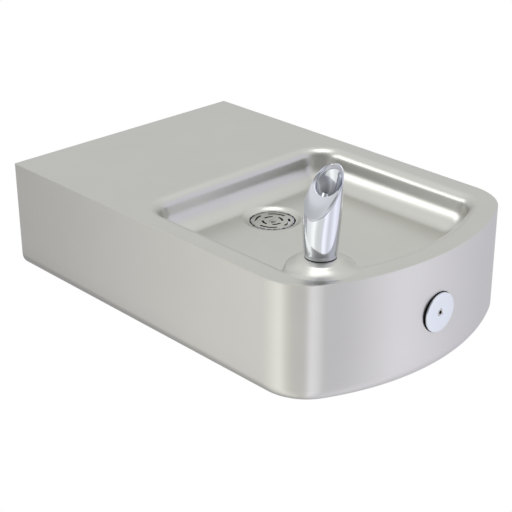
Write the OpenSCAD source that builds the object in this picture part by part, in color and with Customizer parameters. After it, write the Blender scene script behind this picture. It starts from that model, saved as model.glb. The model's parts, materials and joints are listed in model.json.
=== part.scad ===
// Wall-mounted drinking fountain with a pressed bowl, a chrome bubbler and a front push button.
// X runs along the wall, Y runs from the front to the wall and Z is up.
// The origin is the middle of the wall bolt pattern, in the plane of the wall.

/* [Body] */
// Width of the body along the wall
body_w = 305; // [295:1:330]
// Depth from the wall to the middle of the bowed front
body_d = 467; // [455:1:490]
// Height of the body
body_h = 123; // [121:1:135]
// Radius of the two front corners in plan
corner_r = 56.5; // [54:0.5:62]
// Radius of the bowed front in plan
front_r = 266.5; // [255:0.5:300]
// Outside radius of the bend along the bottom edge
bottom_bend_r = 16; // [10:0.5:20]
// Thickness of the stainless sheet
sheet_t = 1.5; // [1.2:0.1:2]
// Width of the flange turned in along the bottom
bottom_flange_w = 36; // [32:1:42]
// Width of the flanges turned in at the wall
back_flange_w = 22; // [16:1:28]

/* [Bowl] */
// Distance from the wall to the rear rim of the bowl
bowl_rear = 183; // [172:1:190]
// Width of the deck left around the bowl
deck_w = 20; // [18:0.5:22]
// Radius of the rolled rim
rim_r = 9; // [6:0.5:10]
// Depth of the bowl at the foot of its wall
bowl_depth = 34; // [32:0.5:36]
// Radius between the wall and the floor of the bowl
floor_r = 18; // [12:0.5:18]
// Lean of the bowl's wall in degrees
wall_lean = 15; // [8:0.5:16]
// Extra fall of the floor from its edge to the drain
floor_fall = 3; // [2:0.5:5]
// Radius of the part of the floor that falls to the drain
dish_r = 29.5; // [28:0.5:30]
// Distance from the wall to the middle of the drain
drain_y = 243; // [240:1:250]

/* [Bubbler pad] */
// Distance from the left side of the body to the middle of the pad
pad_from_side = 56.5; // [53.5:0.5:59.5]
// Distance from the middle of the bowed front to the middle of the pad
pad_from_front = 62.5; // [61:0.5:67]
// Height of the pad over the deck
pad_h = 8.5; // [6:0.5:10]
// Radius of the flat top of the pad
pad_top_r = 17; // [16:0.5:19]
// Radius of the pad where it meets the deck
pad_base_r = 33; // [30:0.5:34]
// Radius of the pad's foot on the floor of the bowl
pad_foot_r = 41; // [38:0.5:43]

/* [Bubbler] */
// Height of the tower's middle line up to the slanted cut
tower_h = 61.2; // [57:0.2:70]
// Radius of the tower at its base
tower_base_r = 15.2; // [14:0.1:16]
// Largest radius of the tower
tower_r = 17.6; // [16.8:0.1:18.5]
// Lean of the tower's top towards the bowl
tower_lean = 2.3; // [0.5:0.1:5]
// Slope of the cut in degrees
cut_slope = 51; // [44:1:53]
// Half length of the mouth along the slope
mouth_along_r = 15.6; // [13:0.1:16]
// Half width of the mouth
mouth_across_r = 14.4; // [12:0.1:15]
// Width of the lip above the mouth
mouth_lip = 1.6; // [1:0.1:3]
// Radius of the threaded shank under the tower
shank_r = 8; // [7:0.1:9]
// Length of the shank below the top of the pad
shank_len = 52; // [46:1:56]
// Thickness of the gasket under the tower
tower_gasket_t = 0.8; // [0.6:0.1:2]

/* [Push button] */
// Radius of the cap
button_r = 20; // [17:0.5:21]
// How far the cap stands out of the front
button_proud = 2.6; // [2:0.1:3.5]
// Thickness of the cap
button_cap_t = 1.4; // [1.2:0.1:1.8]
// Travel of the button
button_travel = 4.5; // [3:0.1:5]
// Height of the button over the middle of the body
button_z = 2; // [-1:0.5:3]
// Radius of the head of the screw in the cap
button_screw_r = 3.4; // [3:0.1:4]
// Radius of that screw's hexagon socket across its corners
button_socket_r = 2.2; // [1.5:0.1:2.6]
// Wire radius of the return spring
spring_wire_r = 0.5; // [0.4:0.05:0.6]
// Coil radius of the return spring at the middle of its wire
spring_coil_r = 8; // [6:0.5:10]
// Turns of the return spring
spring_turns = 4; // [3:0.5:4]

/* [Drain] */
// Radius of the slotted strainer
strainer_r = 21.5; // [20:0.1:23]
// Thickness of the strainer
strainer_t = 1.6; // [1.2:0.1:2]
// Width of the strainer's slots
strainer_slot_w = 2.4; // [1.8:0.1:3]
// Outside radius of the waste tube
arm_r = 15.875; // [14:0.005:17]
// Wall thickness of the waste tube
arm_wall = 1.3; // [0.8:0.1:2]
// How far the waste arm runs past the wall face
arm_past_wall = 35; // [20:1:60]
// Height of the waste arm's middle line over the underside of the body
arm_rise = 23.5; // [22.5:0.5:25.5]

/* [Wall fixing] */
// Distance of the wall bolts from the sides of the body
bolt_from_side = 50.9; // [45:0.1:57.5]
// Height between the two rows of wall bolts
bolt_span_z = 63.5; // [60:0.1:68]
// Width of the bolt slots
slot_w = 10; // [8:0.5:12]
// Length of the bolt slots from end to end
slot_len = 20; // [16:0.5:24]
// Thickness of the wall rails
rail_t = 3; // [2.5:0.1:3.5]
// Height of the plate of each wall rail
rail_h = 27; // [24:0.5:30]

/* [Supply] */
// Distance of the supply stop to the right of the middle
stop_x = 70; // [62:1:76]
// Drilled radius of the stop's threaded inlet
stop_thread_r = 7.35; // [7:0.05:8.5]
// Depth of that thread
stop_thread_len = 14; // [10:0.5:15]
// Radius of the water tubes
tube_r = 3.2; // [3:0.1:3.6]

/* [Hidden] */
$fn = 64;
// Overrun of a cut past the face that it opens
over = 1;
// Gap between pieces that are free of each other
free_gap = 0.3;
// Gap between pieces that are seated on each other by round faces
seat_gap = 0.1;
// Radial gap of a piece that slides or turns in its bore
running_gap = 0.05;
// Steps of each bend in the sheet
bend_steps = 6;

steel_colour = "#bcbcb6";
deck_colour = "#c2c3bd";
chrome_colour = "#dde1e6";
cap_colour = "#dfe4ea";
brass_colour = "#b89a58";
zinc_colour = "#a9adad";
rubber_colour = "#2b2b2b";
plastic_colour = "#1f2022";
tube_colour = "#e4e2da";

// Plan of the body, made of two sides, two corners and the bowed front between the corners
body_top = body_h / 2;
body_bottom = -body_h / 2;
shell_top = body_top - sheet_t;
flange_top = body_bottom + sheet_t;
side_x = body_w / 2 - corner_r;
front_cy = front_r - body_d;
corner_y = front_cy - sqrt(pow(front_r - corner_r, 2) - pow(side_x, 2));
corner_turn = asin(side_x / (front_r - corner_r));
side_len_y = -corner_y;

// Places that follow the body's sides, front and underside
pad_x = body_w / 2 - pad_from_side;
pad_y = body_d - pad_from_front;
bolt_span_x = body_w - bolt_from_side * 2;
arm_drop = body_h / 2 - arm_rise;

// Levels of the bowl
floor_z = body_top - bowl_depth;
drain_z = floor_z - floor_fall;
rim_plan_r = corner_r - deck_w;
bowl_back_y = -bowl_rear - rim_plan_r;

// Drain fittings, from the top down
flange_r = strainer_r + 2 * sheet_t;
flange_t = strainer_t * 2;
seat_r = flange_r + free_gap;
seat_z = drain_z - flange_t;
thread_r = arm_r + arm_wall * 2.4;
waste_gasket_t = sheet_t * 1.4;
waste_nut_t = sheet_t * 5;
under_seat_z = seat_z - sheet_t;
nut_z = under_seat_z - waste_gasket_t - waste_nut_t;
slip_nut_r = thread_r * 1.2;
slip_nut_h = arm_r * 0.9;
elbow_r = arm_r * 1.5;
elbow_z = elbow_r - arm_drop;
collar_half = arm_wall * 1.2;
waste_end_z = elbow_z + collar_half + free_gap + slip_nut_h / 2;
elbow_top_z = waste_end_z + slip_nut_h / 2;
elbow_y = -drain_y + elbow_r;
socket_len = arm_r * 1.4;
socket_r = arm_r + seat_gap + arm_wall;
arm_y0 = elbow_y + arm_r / 2;
arm_nut_r = socket_r * 1.22;
bead_len = arm_wall * 2;
bead_y = -rail_t - bead_len;

// Pad and tower
pad_top_z = body_top + pad_h;
tower_z = pad_top_z + tower_gasket_t;
cut_along_r = tower_r / cos(cut_slope);
mouth_shift = cut_along_r - mouth_lip - mouth_along_r;
mouth_depth = tower_h * 0.31;
cut_dome = tower_r * 0.08;
mouth_dx = tower_lean + mouth_shift * cos(cut_slope);
mouth_dz = tower_h + mouth_shift * sin(cut_slope);
nozzle_r = shank_r / 2;
nozzle_tilt = 18;
nozzle_share = 0.74;
shank_end_z = pad_top_z - shank_len;
tail_r = tube_r * 1.9;
tail_len = shank_r;
tube_bore_r = tube_r + seat_gap;
tower_socket = shank_r * 1.3;
washer_t = sheet_t;
locknut_t = shank_r * 0.75;

// Push button and valve: places behind the middle of the front, measured along Y
panel_y = -body_d;
cap_back_y = panel_y - button_proud + button_cap_t;
guide_wall = 3;
button_body_r = button_r - free_gap * 2;
button_wall = 2.4;
button_disc_y = cap_back_y + button_travel;
button_skirt_y = button_disc_y + button_r / 2;
hole_r = button_r + free_gap * 2;
guide_bore_r = button_body_r + free_gap;
guide_r = guide_bore_r + guide_wall;
guide_flange_y = panel_y + guide_wall * 2;
nose_y = button_disc_y + button_r * 0.6;
nose_r = button_r / 2;
guide_back_y = nose_y + nose_r;
guide_inner_y = guide_back_y - guide_wall;
stud_r = 2;
guide_nut_r = stud_r * 1.7;
stud_at = guide_r + guide_nut_r + free_gap;
guide_flange_r = stud_at + guide_nut_r;
stud_end_y = guide_flange_y + guide_wall * 1.6;
stem_r = guide_wall;
valve_r = nose_r * 1.5;
chamber_y = guide_back_y + nose_r * 0.9;
valve_end_y = chamber_y + valve_r * 1.75;
chamber_r = nose_r * 0.95;
cap_plug_len = nose_r * 0.6;
cartridge_end_y = valve_end_y - cap_plug_len - free_gap;
stem_end_y = chamber_y + nose_r;
port_y = (chamber_y + valve_end_y) / 2;
port_r = tail_r;
port_end_x = valve_r + nose_r * 1.1;
port_nut_len = nose_r * 1.2;
tube_straight = port_nut_len * 0.45 + tube_r * 3.2;
flow_screw_r = stud_r;
flow_boss_r = flow_screw_r * 2.2;
flow_boss_z = button_z - valve_r - stud_r * 2;
flow_tip_z = button_z - chamber_r - running_gap - stud_r / 2;
flow_head_z = flow_boss_z - stud_r * 1.5;

// Supply stop: places along Y from the wall
stop_mouth_y = -rail_t / 6;
stop_shank_r = stop_thread_r * 1.36;
stop_collar_r = stop_shank_r * 1.3;
bracket_y = -rail_t * 2;
stop_locknut_y = bracket_y - rail_t * 1.6;
stop_block_y = stop_locknut_y - rail_t * 3;
stop_r = stop_shank_r * 1.2;
stop_block_end_y = stop_block_y - stop_r * 2.1;
stop_outlet_y = stop_block_end_y - nose_r;
stop_stem_y = (stop_block_y + stop_block_end_y) / 2;
stop_boss_r = stop_r * 0.66;
stop_boss_z = -stop_r * 1.35;
bonnet_r = stop_r * 0.8;
bonnet_t = stop_r / 2;
stop_stem_r = stud_r * 1.5;
stop_head_r = stop_stem_r * 1.5;
stop_head_t = stop_stem_r;
bracket_half_w = stop_shank_r * 1.6;
bracket_low_z = -bolt_span_z * 0.77;
bracket_high_z = stop_collar_r * 1.15;
bracket_screw_r = stud_r;
bracket_screw_z = -bolt_span_z * 0.62;

// Rails, hanger and their screws
rail_half = body_w / 2 - back_flange_w - rail_t;
upper_low_z = bolt_span_z / 2 - rail_h / 2;
upper_high_z = bolt_span_z / 2 + rail_h / 2;
lower_high_z = -bolt_span_z / 2 + rail_h / 2;
lip_y = -rail_t * 3;
channel_half = rail_half - rail_t * 3;
leg_y = -rail_t * 6.7;
rail_screw_r = stud_r * 1.25;
rail_screw_x = bolt_span_x * 0.34;
rail_screw_y = -rail_t * 4;
rail_notch_half = arm_r * 1.3;

// Bottom cover
cover_inset = bottom_flange_w * 0.67;
cover_low_z = body_bottom - sheet_t;
cover_screw_r = stud_r;
cover_hole_r = cover_screw_r + free_gap;
screw_inset = (cover_inset + bottom_flange_w) / 2;
clip_half = screw_inset - cover_inset;
clip_t = sheet_t * 1.6;
side_screw_shares = [0.24, 0.55, 0.86];
rear_screw_share = 0.5;
front_screw_turn = 15;
cover_screw_places = concat(
    [for (side = [-1, 1]) for (s = side_screw_shares) [side * (body_w / 2 - screw_inset), -side_len_y * s]],
    [for (side = [-1, 1]) [side * side_x * rear_screw_share, -screw_inset]],
    [for (side = [-1, 1]) [side * (front_r - screw_inset) * sin(front_screw_turn),
        front_cy - (front_r - screw_inset) * cos(front_screw_turn)]]
);

// Points of an arc about a centre, from one angle to another
function arc(cx, cy, r, a0, a1, steps) =
    [for (i = [0:steps]) let (a = a0 + (a1 - a0) * i / steps) [cx + r * cos(a), cy + r * sin(a)]];

// Insets and heights of the body's wall, from the foot of its bottom bend up, drawn in by the thickness grow
function body_wall(grow, top) = concat(
    [for (p = arc(0, bottom_bend_r, bottom_bend_r - grow, -90, 0, bend_steps))
        [bottom_bend_r - p[0], body_bottom + p[1]]],
    [[grow, top]]
);

// Plan of the body at an inset from its outside, square at back_y
function body_plan(inset, back_y) = concat(
    [for (i = [1:19]) let (a = -90 - corner_turn + corner_turn * i / 10)
        [(front_r - inset) * cos(a), front_cy + (front_r - inset) * sin(a)]],
    arc(side_x, corner_y, corner_r - inset, corner_turn - 90, 0, 10),
    [[body_w / 2 - inset, back_y], [inset - body_w / 2, back_y]],
    arc(-side_x, corner_y, corner_r - inset, 180, 270 - corner_turn, 10)
);

// Insets from the rim line and heights of the bowl's wall, from its floor up to the rim.
// The thickness grow moves them to the underside of the sheet.
function bowl_wall(grow, top) =
    let (rise = (bowl_depth - (rim_r + floor_r) * (1 - sin(wall_lean))) * tan(wall_lean),
        floor_in = (rim_r + floor_r) * cos(wall_lean) + rise)
    concat(
        [for (p = arc(0, floor_z + floor_r, floor_r + grow, -90, -wall_lean, bend_steps)) [floor_in - p[0], p[1]]],
        [for (p = arc(0, body_top - rim_r, rim_r - grow, 180 - wall_lean, 90, bend_steps)) [-p[0], p[1]]],
        [[0, top]]
    );

// Plan of the bowl at an inset from its rim line
function bowl_plan(inset) = let (r = rim_plan_r - inset) concat(
    [for (i = [1:15]) let (a = -90 - corner_turn + corner_turn * i / 8)
        [(front_r - deck_w - inset) * cos(a), front_cy + (front_r - deck_w - inset) * sin(a)]],
    arc(side_x, corner_y, r, corner_turn - 90, 0, 7),
    arc(side_x, bowl_back_y, r, 0, 90, 9),
    arc(-side_x, bowl_back_y, r, 90, 180, 9),
    arc(-side_x, corner_y, r, 180, 270 - corner_turn, 7)
);

module bowl_solid(grow, top) {
    loft([for (p = bowl_wall(grow, top)) [for (q = bowl_plan(p[0])) [q[0], q[1], p[1]]]]);
}

module body_solid(grow, back_y, top) {
    loft([for (p = body_wall(grow, top)) [for (q = body_plan(p[0], back_y)) [q[0], q[1], p[1]]]]);
}

module plan_slab(inset, back_y, low, high) {
    translate([0, 0, low]) linear_extrude(high - low) polygon(body_plan(inset, back_y));
}

module y_cylinder(x, z, r, y0, y1) {
    translate([x, y1, z]) rotate([90, 0, 0]) cylinder(r = r, h = y1 - y0);
}

module y_hexagon(x, z, r, y0, y1) {
    translate([x, y1, z]) rotate([90, 0, 0]) cylinder(r = r, h = y1 - y0, $fn = 6);
}

module z_cylinder(x, y, r, z0, z1) {
    translate([x, y, z0]) cylinder(r = r, h = z1 - z0);
}

module z_hexagon(x, y, r, z0, z1) {
    translate([x, y, z0]) cylinder(r = r, h = z1 - z0, $fn = 6);
}

module x_cylinder(y, z, r, x0, x1) {
    translate([x0, y, z]) rotate([0, 90, 0]) cylinder(r = r, h = x1 - x0);
}

// Slot along X through a plate that lies in the plane of the wall
module wall_slot(x, z) {
    half = (slot_len - slot_w) / 2;
    for (end = [-1, 1]) y_cylinder(x + end * half, z, slot_w / 2, -rail_t - over, over);
    translate([x - half, -rail_t - over, z - slot_w / 2]) cube([half * 2, rail_t + over * 2, slot_w]);
}

// Surface through rings of equally many points, closed at its first and last ring
module loft(rings) {
    n = len(rings[0]);
    last = len(rings) - 1;
    polyhedron(
        points = [for (ring = rings) each ring],
        faces = concat(
            [[for (j = [0:n - 1]) j]],
            [for (k = [0:last - 1]) for (j = [0:n - 1]) let (m = (j + 1) % n)
                each [[k * n + j, (k + 1) * n + j, (k + 1) * n + m], [k * n + j, (k + 1) * n + m, k * n + m]]],
            [[for (j = [n - 1:-1:0]) last * n + j]]
        )
    );
}

// Cubic curve between two points, with the two points that it leaves and arrives by
function curve_point(p, t) =
    pow(1 - t, 3) * p[0] + 3 * pow(1 - t, 2) * t * p[1] + 3 * (1 - t) * t * t * p[2] + pow(t, 3) * p[3];
function curve_slope(p, t) =
    pow(1 - t, 2) * (p[1] - p[0]) + 2 * (1 - t) * t * (p[2] - p[1]) + t * t * (p[3] - p[2]);

// Ring of eight points about c, square to the direction d
function tube_ring(c, d, r) =
    let (along = d / norm(d), up = abs(along[2]) > sin(60) ? [0, 1, 0] : [0, 0, 1],
        side_raw = cross(along, up), side = side_raw / norm(side_raw), other = cross(side, along))
    [for (j = [0:7]) c + r * (cos(45 * j) * side - sin(45 * j) * other)];

// Tube between two ports: straight out of each for a short way, then along a curve that each end pulls straight on
module curved_tube(from, from_way, from_pull, to, to_way, to_pull, r, steps) {
    p = [from + from_way * tube_straight, from + from_way * (tube_straight + from_pull),
        to + to_way * (tube_straight + to_pull), to + to_way * tube_straight];
    loft(concat(
        [tube_ring(from, from_way, r)],
        [for (i = [0:steps]) tube_ring(curve_point(p, i / steps), curve_slope(p, i / steps), r)],
        [tube_ring(to, -to_way, r)]
    ));
}

module body_shell() color(steel_colour) {
    difference() {
        body_solid(0, 0, shell_top);
        body_solid(sheet_t, -sheet_t, shell_top + over);
        plan_slab(bottom_flange_w, -bottom_flange_w, body_bottom - over, flange_top + over);
        translate([back_flange_w - body_w / 2, -sheet_t - over, flange_top])
            cube([body_w - back_flange_w * 2, sheet_t + over * 2, body_h]);
        y_cylinder(0, button_z, hole_r, panel_y - over, panel_y + guide_wall);
        for (p = cover_screw_places) z_cylinder(p[0], p[1], cover_hole_r, body_bottom - over, flange_top + over);
        for (side = [-1, 1]) z_cylinder(side * rail_screw_x, rail_screw_y, rail_screw_r + free_gap,
            body_bottom - over, flange_top + over);
    }
    for (turn = [45:90:315])
        y_cylinder(stud_at * cos(turn), button_z + stud_at * sin(turn), stud_r, panel_y + sheet_t, stud_end_y);
}

// Solid of the raised pad from the level low up, drawn in by inset on its underside
module pad_solid(inset, low) {
    translate([-pad_x, -pad_y, 0]) rotate_extrude($fn = 96) polygon([
        [0, low], [pad_foot_r - inset, low], [pad_foot_r - inset, floor_z - inset],
        [(pad_base_r + pad_foot_r * 2) / 3 - inset, floor_z + bowl_depth * 0.6 - inset],
        [pad_base_r - inset, body_top - inset],
        [(pad_base_r + pad_top_r * 2) / 3 - inset, body_top + pad_h * 0.72 - inset],
        [pad_top_r - inset / 2, pad_top_z - inset], [0, pad_top_z - inset]
    ]);
}

module basin_tray() color(deck_colour) difference() {
    union() {
        plan_slab(0, 0, shell_top, body_top);
        bowl_solid(sheet_t, body_top);
        translate([0, -drain_y, drain_z - sheet_t]) cylinder(h = floor_fall, r1 = seat_r, r2 = dish_r);
        z_cylinder(0, -drain_y, seat_r + sheet_t, under_seat_z, floor_z);
        intersection() {
            pad_solid(0, shell_top - over);
            z_cylinder(-pad_x, -pad_y, pad_foot_r, shell_top, pad_top_z);
        }
    }
    difference() {
        bowl_solid(0, body_top + over);
        pad_solid(0, floor_z - over);
    }
    translate([0, -drain_y, drain_z]) cylinder(h = floor_fall + free_gap, r1 = seat_r,
        r2 = dish_r + (dish_r - seat_r) * free_gap / floor_fall);
    z_cylinder(0, -drain_y, seat_r, seat_z, floor_z + over);
    z_cylinder(0, -drain_y, thread_r + free_gap, under_seat_z - over, seat_z + over);
    pad_solid(sheet_t, floor_z - sheet_t - over);
    z_cylinder(-pad_x, -pad_y, shank_r + free_gap, floor_z, pad_top_z + over);
}

module bottom_cover() color(steel_colour) difference() {
    plan_slab(cover_inset, -cover_inset, cover_low_z, body_bottom);
    for (p = cover_screw_places) z_cylinder(p[0], p[1], cover_hole_r, cover_low_z - over, body_bottom + over);
}

module cover_screws() color(steel_colour) for (p = cover_screw_places) {
    z_cylinder(p[0], p[1], cover_screw_r, cover_low_z, flange_top + clip_t * 2);
    difference() {
        z_cylinder(p[0], p[1], cover_screw_r * 1.9, cover_low_z - cover_screw_r, cover_low_z);
        z_hexagon(p[0], p[1], cover_screw_r * 0.8, cover_low_z - cover_screw_r - over, cover_low_z - cover_screw_r / 3);
    }
}

module cover_clips() color(zinc_colour) for (p = cover_screw_places) difference() {
    translate([p[0] - clip_half, p[1] - clip_half, flange_top]) cube([clip_half * 2, clip_half * 2, clip_t]);
    z_cylinder(p[0], p[1], cover_screw_r + running_gap, flange_top - over, flange_top + clip_t + over);
}

module upper_wall_rail() color(zinc_colour) difference() {
    union() {
        translate([-rail_half, -rail_t, upper_low_z]) cube([rail_half * 2, rail_t, rail_h]);
        translate([-rail_half, lip_y, upper_high_z - rail_t]) cube([rail_half * 2, -lip_y, rail_t]);
        translate([-rail_half, lip_y, upper_high_z - rail_t])
            cube([rail_half * 2, rail_t, shell_top - upper_high_z]);
    }
    for (side = [-1, 1]) wall_slot(side * bolt_span_x / 2, bolt_span_z / 2);
}

module hanger_channel() color(zinc_colour) difference() {
    translate([-channel_half, lip_y - rail_t - free_gap, upper_high_z + free_gap])
        cube([channel_half * 2, rail_t * 3 + free_gap * 2, shell_top - upper_high_z - free_gap]);
    translate([-channel_half - over, lip_y - free_gap, upper_high_z])
        cube([channel_half * 2 + over * 2, rail_t + free_gap * 2, shell_top - rail_t - upper_high_z]);
}

module lower_wall_rail() color(zinc_colour) difference() {
    union() {
        translate([-rail_half, -rail_t, flange_top]) cube([rail_half * 2, rail_t, lower_high_z - flange_top]);
        translate([-rail_half, leg_y, flange_top]) cube([rail_half * 2, -leg_y, rail_t]);
        for (side = [-1, 1])
            z_cylinder(side * rail_screw_x, rail_screw_y, rail_screw_r * 2, flange_top, flange_top + rail_t * 2);
    }
    for (side = [-1, 1]) {
        wall_slot(side * bolt_span_x / 2, -bolt_span_z / 2);
        z_cylinder(side * rail_screw_x, rail_screw_y, rail_screw_r + running_gap,
            flange_top - over, flange_top + rail_t * 2 + over);
        y_cylinder(stop_x + side * bracket_half_w / 2, bracket_screw_z, bracket_screw_r + running_gap,
            -rail_t - over, over);
    }
    translate([-rail_notch_half, -rail_t - over, flange_top + rail_t])
        cube([rail_notch_half * 2, rail_t + over * 2, body_h]);
}

module rail_screws() color(steel_colour) for (side = [-1, 1]) {
    z_cylinder(side * rail_screw_x, rail_screw_y, rail_screw_r, body_bottom, flange_top + rail_t * 2.4);
    difference() {
        z_cylinder(side * rail_screw_x, rail_screw_y, rail_screw_r * 1.8, body_bottom - rail_screw_r, body_bottom);
        z_hexagon(side * rail_screw_x, rail_screw_y, rail_screw_r * 0.8,
            body_bottom - rail_screw_r - over, body_bottom - rail_screw_r / 3);
    }
}

// Ring of the tower: an ellipse that is tilted about Y, with its centre at x and z
function tower_ring(x, z, along, across, tilt) = [for (j = [0:47]) let (a = j * 360 / 48)
    [x + along * cos(a) * cos(tilt), across * sin(a), z + along * cos(a) * sin(tilt)]];

// Shares of the tower's height, swell, lean and cut slope, ring by ring up its outside
barrel_shares = [
    [0, 0, 0, 0], [0.09, 0.24, 0, 0], [0.2, 0.48, 0.04, 0.06], [0.33, 0.7, 0.14, 0.17], [0.46, 0.86, 0.3, 0.33],
    [0.6, 0.96, 0.5, 0.53], [0.74, 1, 0.7, 0.73], [0.87, 0.98, 0.87, 0.89], [0.965, 0.95, 1, 1]
];
// Shares of the mouth's size, of its depth, of the drain back to the middle and of the slope, down its inside
mouth_shares = [[0.97, 0.03, 0, 1], [0.92, 0.16, 0.1, 0.92], [0.82, 0.45, 0.3, 0.6], [0.68, 0.8, 0.6, 0.25], [0.5, 1, 0.7, 0]];

module bubbler() color(chrome_colour) translate([-pad_x, -pad_y, tower_z]) difference() {
    loft(concat(
        [for (s = barrel_shares) let (r = tower_base_r + (tower_r - tower_base_r) * s[1], tilt = cut_slope * s[3])
            tower_ring(tower_lean * s[2], tower_h * s[0], r / cos(tilt), r, tilt)],
        [tower_ring(tower_lean, tower_h, cut_along_r - mouth_lip / 2, tower_r - mouth_lip / 2, cut_slope)],
        [tower_ring((tower_lean + mouth_dx) / 2 - cut_dome * sin(cut_slope), (tower_h + mouth_dz) / 2 + cut_dome * cos(cut_slope),
            (cut_along_r + mouth_along_r) / 2, (tower_r + mouth_across_r) / 2 - mouth_lip / 4, cut_slope)],
        [tower_ring(mouth_dx, mouth_dz, mouth_along_r, mouth_across_r, cut_slope)],
        [for (s = mouth_shares) tower_ring(mouth_dx - (mouth_dx - tower_lean) * s[2], mouth_dz - mouth_depth * s[1],
            mouth_along_r * s[0], mouth_across_r * s[0], cut_slope * s[3])]
    ));
    z_cylinder(0, 0, shank_r + running_gap, -over, tower_socket);
    z_cylinder(0, 0, tube_r, 0, mouth_dz - mouth_depth * 1.4);
    nozzle_seat() z_cylinder(0, 0, nozzle_r + running_gap, -nozzle_r * 2, mouth_depth);
}

// Frame of the nozzle: its foot in the mouth's floor, turned towards the bowl
module nozzle_seat() {
    translate([tower_lean, 0, mouth_dz - mouth_depth]) rotate([0, nozzle_tilt, 0]) children();
}

module bubbler_nozzle() color(chrome_colour) translate([-pad_x, -pad_y, tower_z]) nozzle_seat() difference() {
    rotate_extrude() polygon([
        [0, -nozzle_r * 1.6], [nozzle_r, -nozzle_r * 1.6], [nozzle_r, nozzle_r],
        [nozzle_r * nozzle_share, nozzle_r * 2.2], [0, nozzle_r * 2.2]
    ]);
    z_cylinder(0, 0, nozzle_r * 0.4, -nozzle_r * 2, nozzle_r * 3);
}

module bubbler_gasket() color(rubber_colour) difference() {
    z_cylinder(-pad_x, -pad_y, tower_base_r - free_gap, pad_top_z, tower_z);
    z_cylinder(-pad_x, -pad_y, shank_r + free_gap, pad_top_z - over, tower_z + over);
}

module bubbler_shank() color(brass_colour) difference() {
    union() {
        z_cylinder(-pad_x, -pad_y, shank_r, shank_end_z, tower_z + tower_socket - free_gap);
        z_cylinder(-pad_x, -pad_y, tail_r, shank_end_z - tail_len, shank_end_z);
    }
    z_cylinder(-pad_x, -pad_y, tube_bore_r, shank_end_z - tail_len - over, tower_z + tower_socket);
}

module bubbler_washer() color(steel_colour) difference() {
    z_cylinder(-pad_x, -pad_y, pad_top_r - sheet_t, pad_top_z - sheet_t - washer_t, pad_top_z - sheet_t);
    z_cylinder(-pad_x, -pad_y, shank_r + free_gap, pad_top_z - sheet_t - washer_t - over, pad_top_z);
}

module bubbler_locknut() color(brass_colour) difference() {
    z_hexagon(-pad_x, -pad_y, shank_r * 1.7, pad_top_z - sheet_t - washer_t - locknut_t, pad_top_z - sheet_t - washer_t);
    z_cylinder(-pad_x, -pad_y, shank_r + running_gap, pad_top_z - shank_len, pad_top_z);
}

// Compression nut about Z, its thread upwards and its tube downwards
module tube_nut(thread, len) {
    difference() {
        cylinder(r = thread * 1.4, h = len, $fn = 6);
        translate([0, 0, len * 0.45]) cylinder(r = thread + running_gap, h = len);
        translate([0, 0, -over]) cylinder(r = tube_r + running_gap, h = len);
    }
}

module bubbler_tube_nut() color(brass_colour)
    translate([-pad_x, -pad_y, shank_end_z - tail_len - port_nut_len * 0.45]) tube_nut(tail_r, port_nut_len);

shank_port = [-pad_x, -pad_y, shank_end_z - tail_len + tube_r];
outlet_port = [-port_end_x + tube_r, port_y, button_z];
inlet_port = [port_end_x - tube_r, port_y, button_z];
stop_port = [stop_x, stop_outlet_y + tube_r, 0];

module bubbler_tube() color(tube_colour)
    curved_tube(shank_port, [0, 0, -1], shank_len * 0.8, outlet_port, [-1, 0, 0], pad_x * 0.4, tube_r, 28);

module supply_tube() color(tube_colour)
    curved_tube(inlet_port, [1, 0, 0], stop_x * 0.9, stop_port, [0, -1, 0], side_len_y * 0.45, tube_r, 44);

module drain_strainer() color(steel_colour) translate([0, -drain_y, drain_z - strainer_t]) difference() {
    cylinder(r = strainer_r, h = strainer_t);
    translate([0, 0, -over]) cylinder(r = stud_r + free_gap, h = strainer_t + over * 2);
    for (ring = [0, 1]) for (part = [0:3]) rotate([0, 0, part * 90 + ring * 45])
        translate([0, 0, -over]) rotate_extrude(angle = ring == 0 ? 62 : 54)
            translate([strainer_r * (ring == 0 ? 0.76 : 0.42), 0])
                square([strainer_slot_w, strainer_t + over * 2]);
}

module strainer_screw() color(steel_colour) translate([0, -drain_y, drain_z]) {
    z_cylinder(0, 0, stud_r, -flange_t * 2.5, 0);
    difference() {
        z_cylinder(0, 0, stud_r * 2, 0, strainer_t * 0.8);
        translate([-stud_r * 2, -stud_r / 4, strainer_t / 2]) cube([stud_r * 4, stud_r / 2, strainer_t]);
    }
}

module waste_body() color(chrome_colour) translate([0, -drain_y, 0]) {
    difference() {
        union() {
            z_cylinder(0, 0, flange_r, seat_z, drain_z);
            z_cylinder(0, 0, thread_r, waste_end_z, drain_z);
        }
        z_cylinder(0, 0, strainer_r + free_gap, drain_z - strainer_t, drain_z + over);
        z_cylinder(0, 0, arm_r + seat_gap, waste_end_z - over, drain_z);
    }
    difference() {
        for (turn = [0, 90]) rotate([0, 0, turn])
            translate([-arm_r - seat_gap * 2, -stud_r, drain_z - flange_t * 2.4])
                cube([arm_r * 2 + seat_gap * 4, stud_r * 2, flange_t]);
        z_cylinder(0, 0, stud_r + running_gap, drain_z - flange_t * 3, drain_z);
    }
}

module waste_gasket() color(rubber_colour) difference() {
    z_cylinder(0, -drain_y, seat_r + sheet_t, under_seat_z - waste_gasket_t, under_seat_z);
    z_cylinder(0, -drain_y, thread_r + seat_gap, under_seat_z - waste_gasket_t - over, under_seat_z + over);
}

module waste_locknut() color(brass_colour) difference() {
    z_hexagon(0, -drain_y, thread_r * 1.45, nut_z, nut_z + waste_nut_t);
    z_cylinder(0, -drain_y, thread_r + running_gap, nut_z - over, nut_z + waste_nut_t + over);
}

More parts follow.
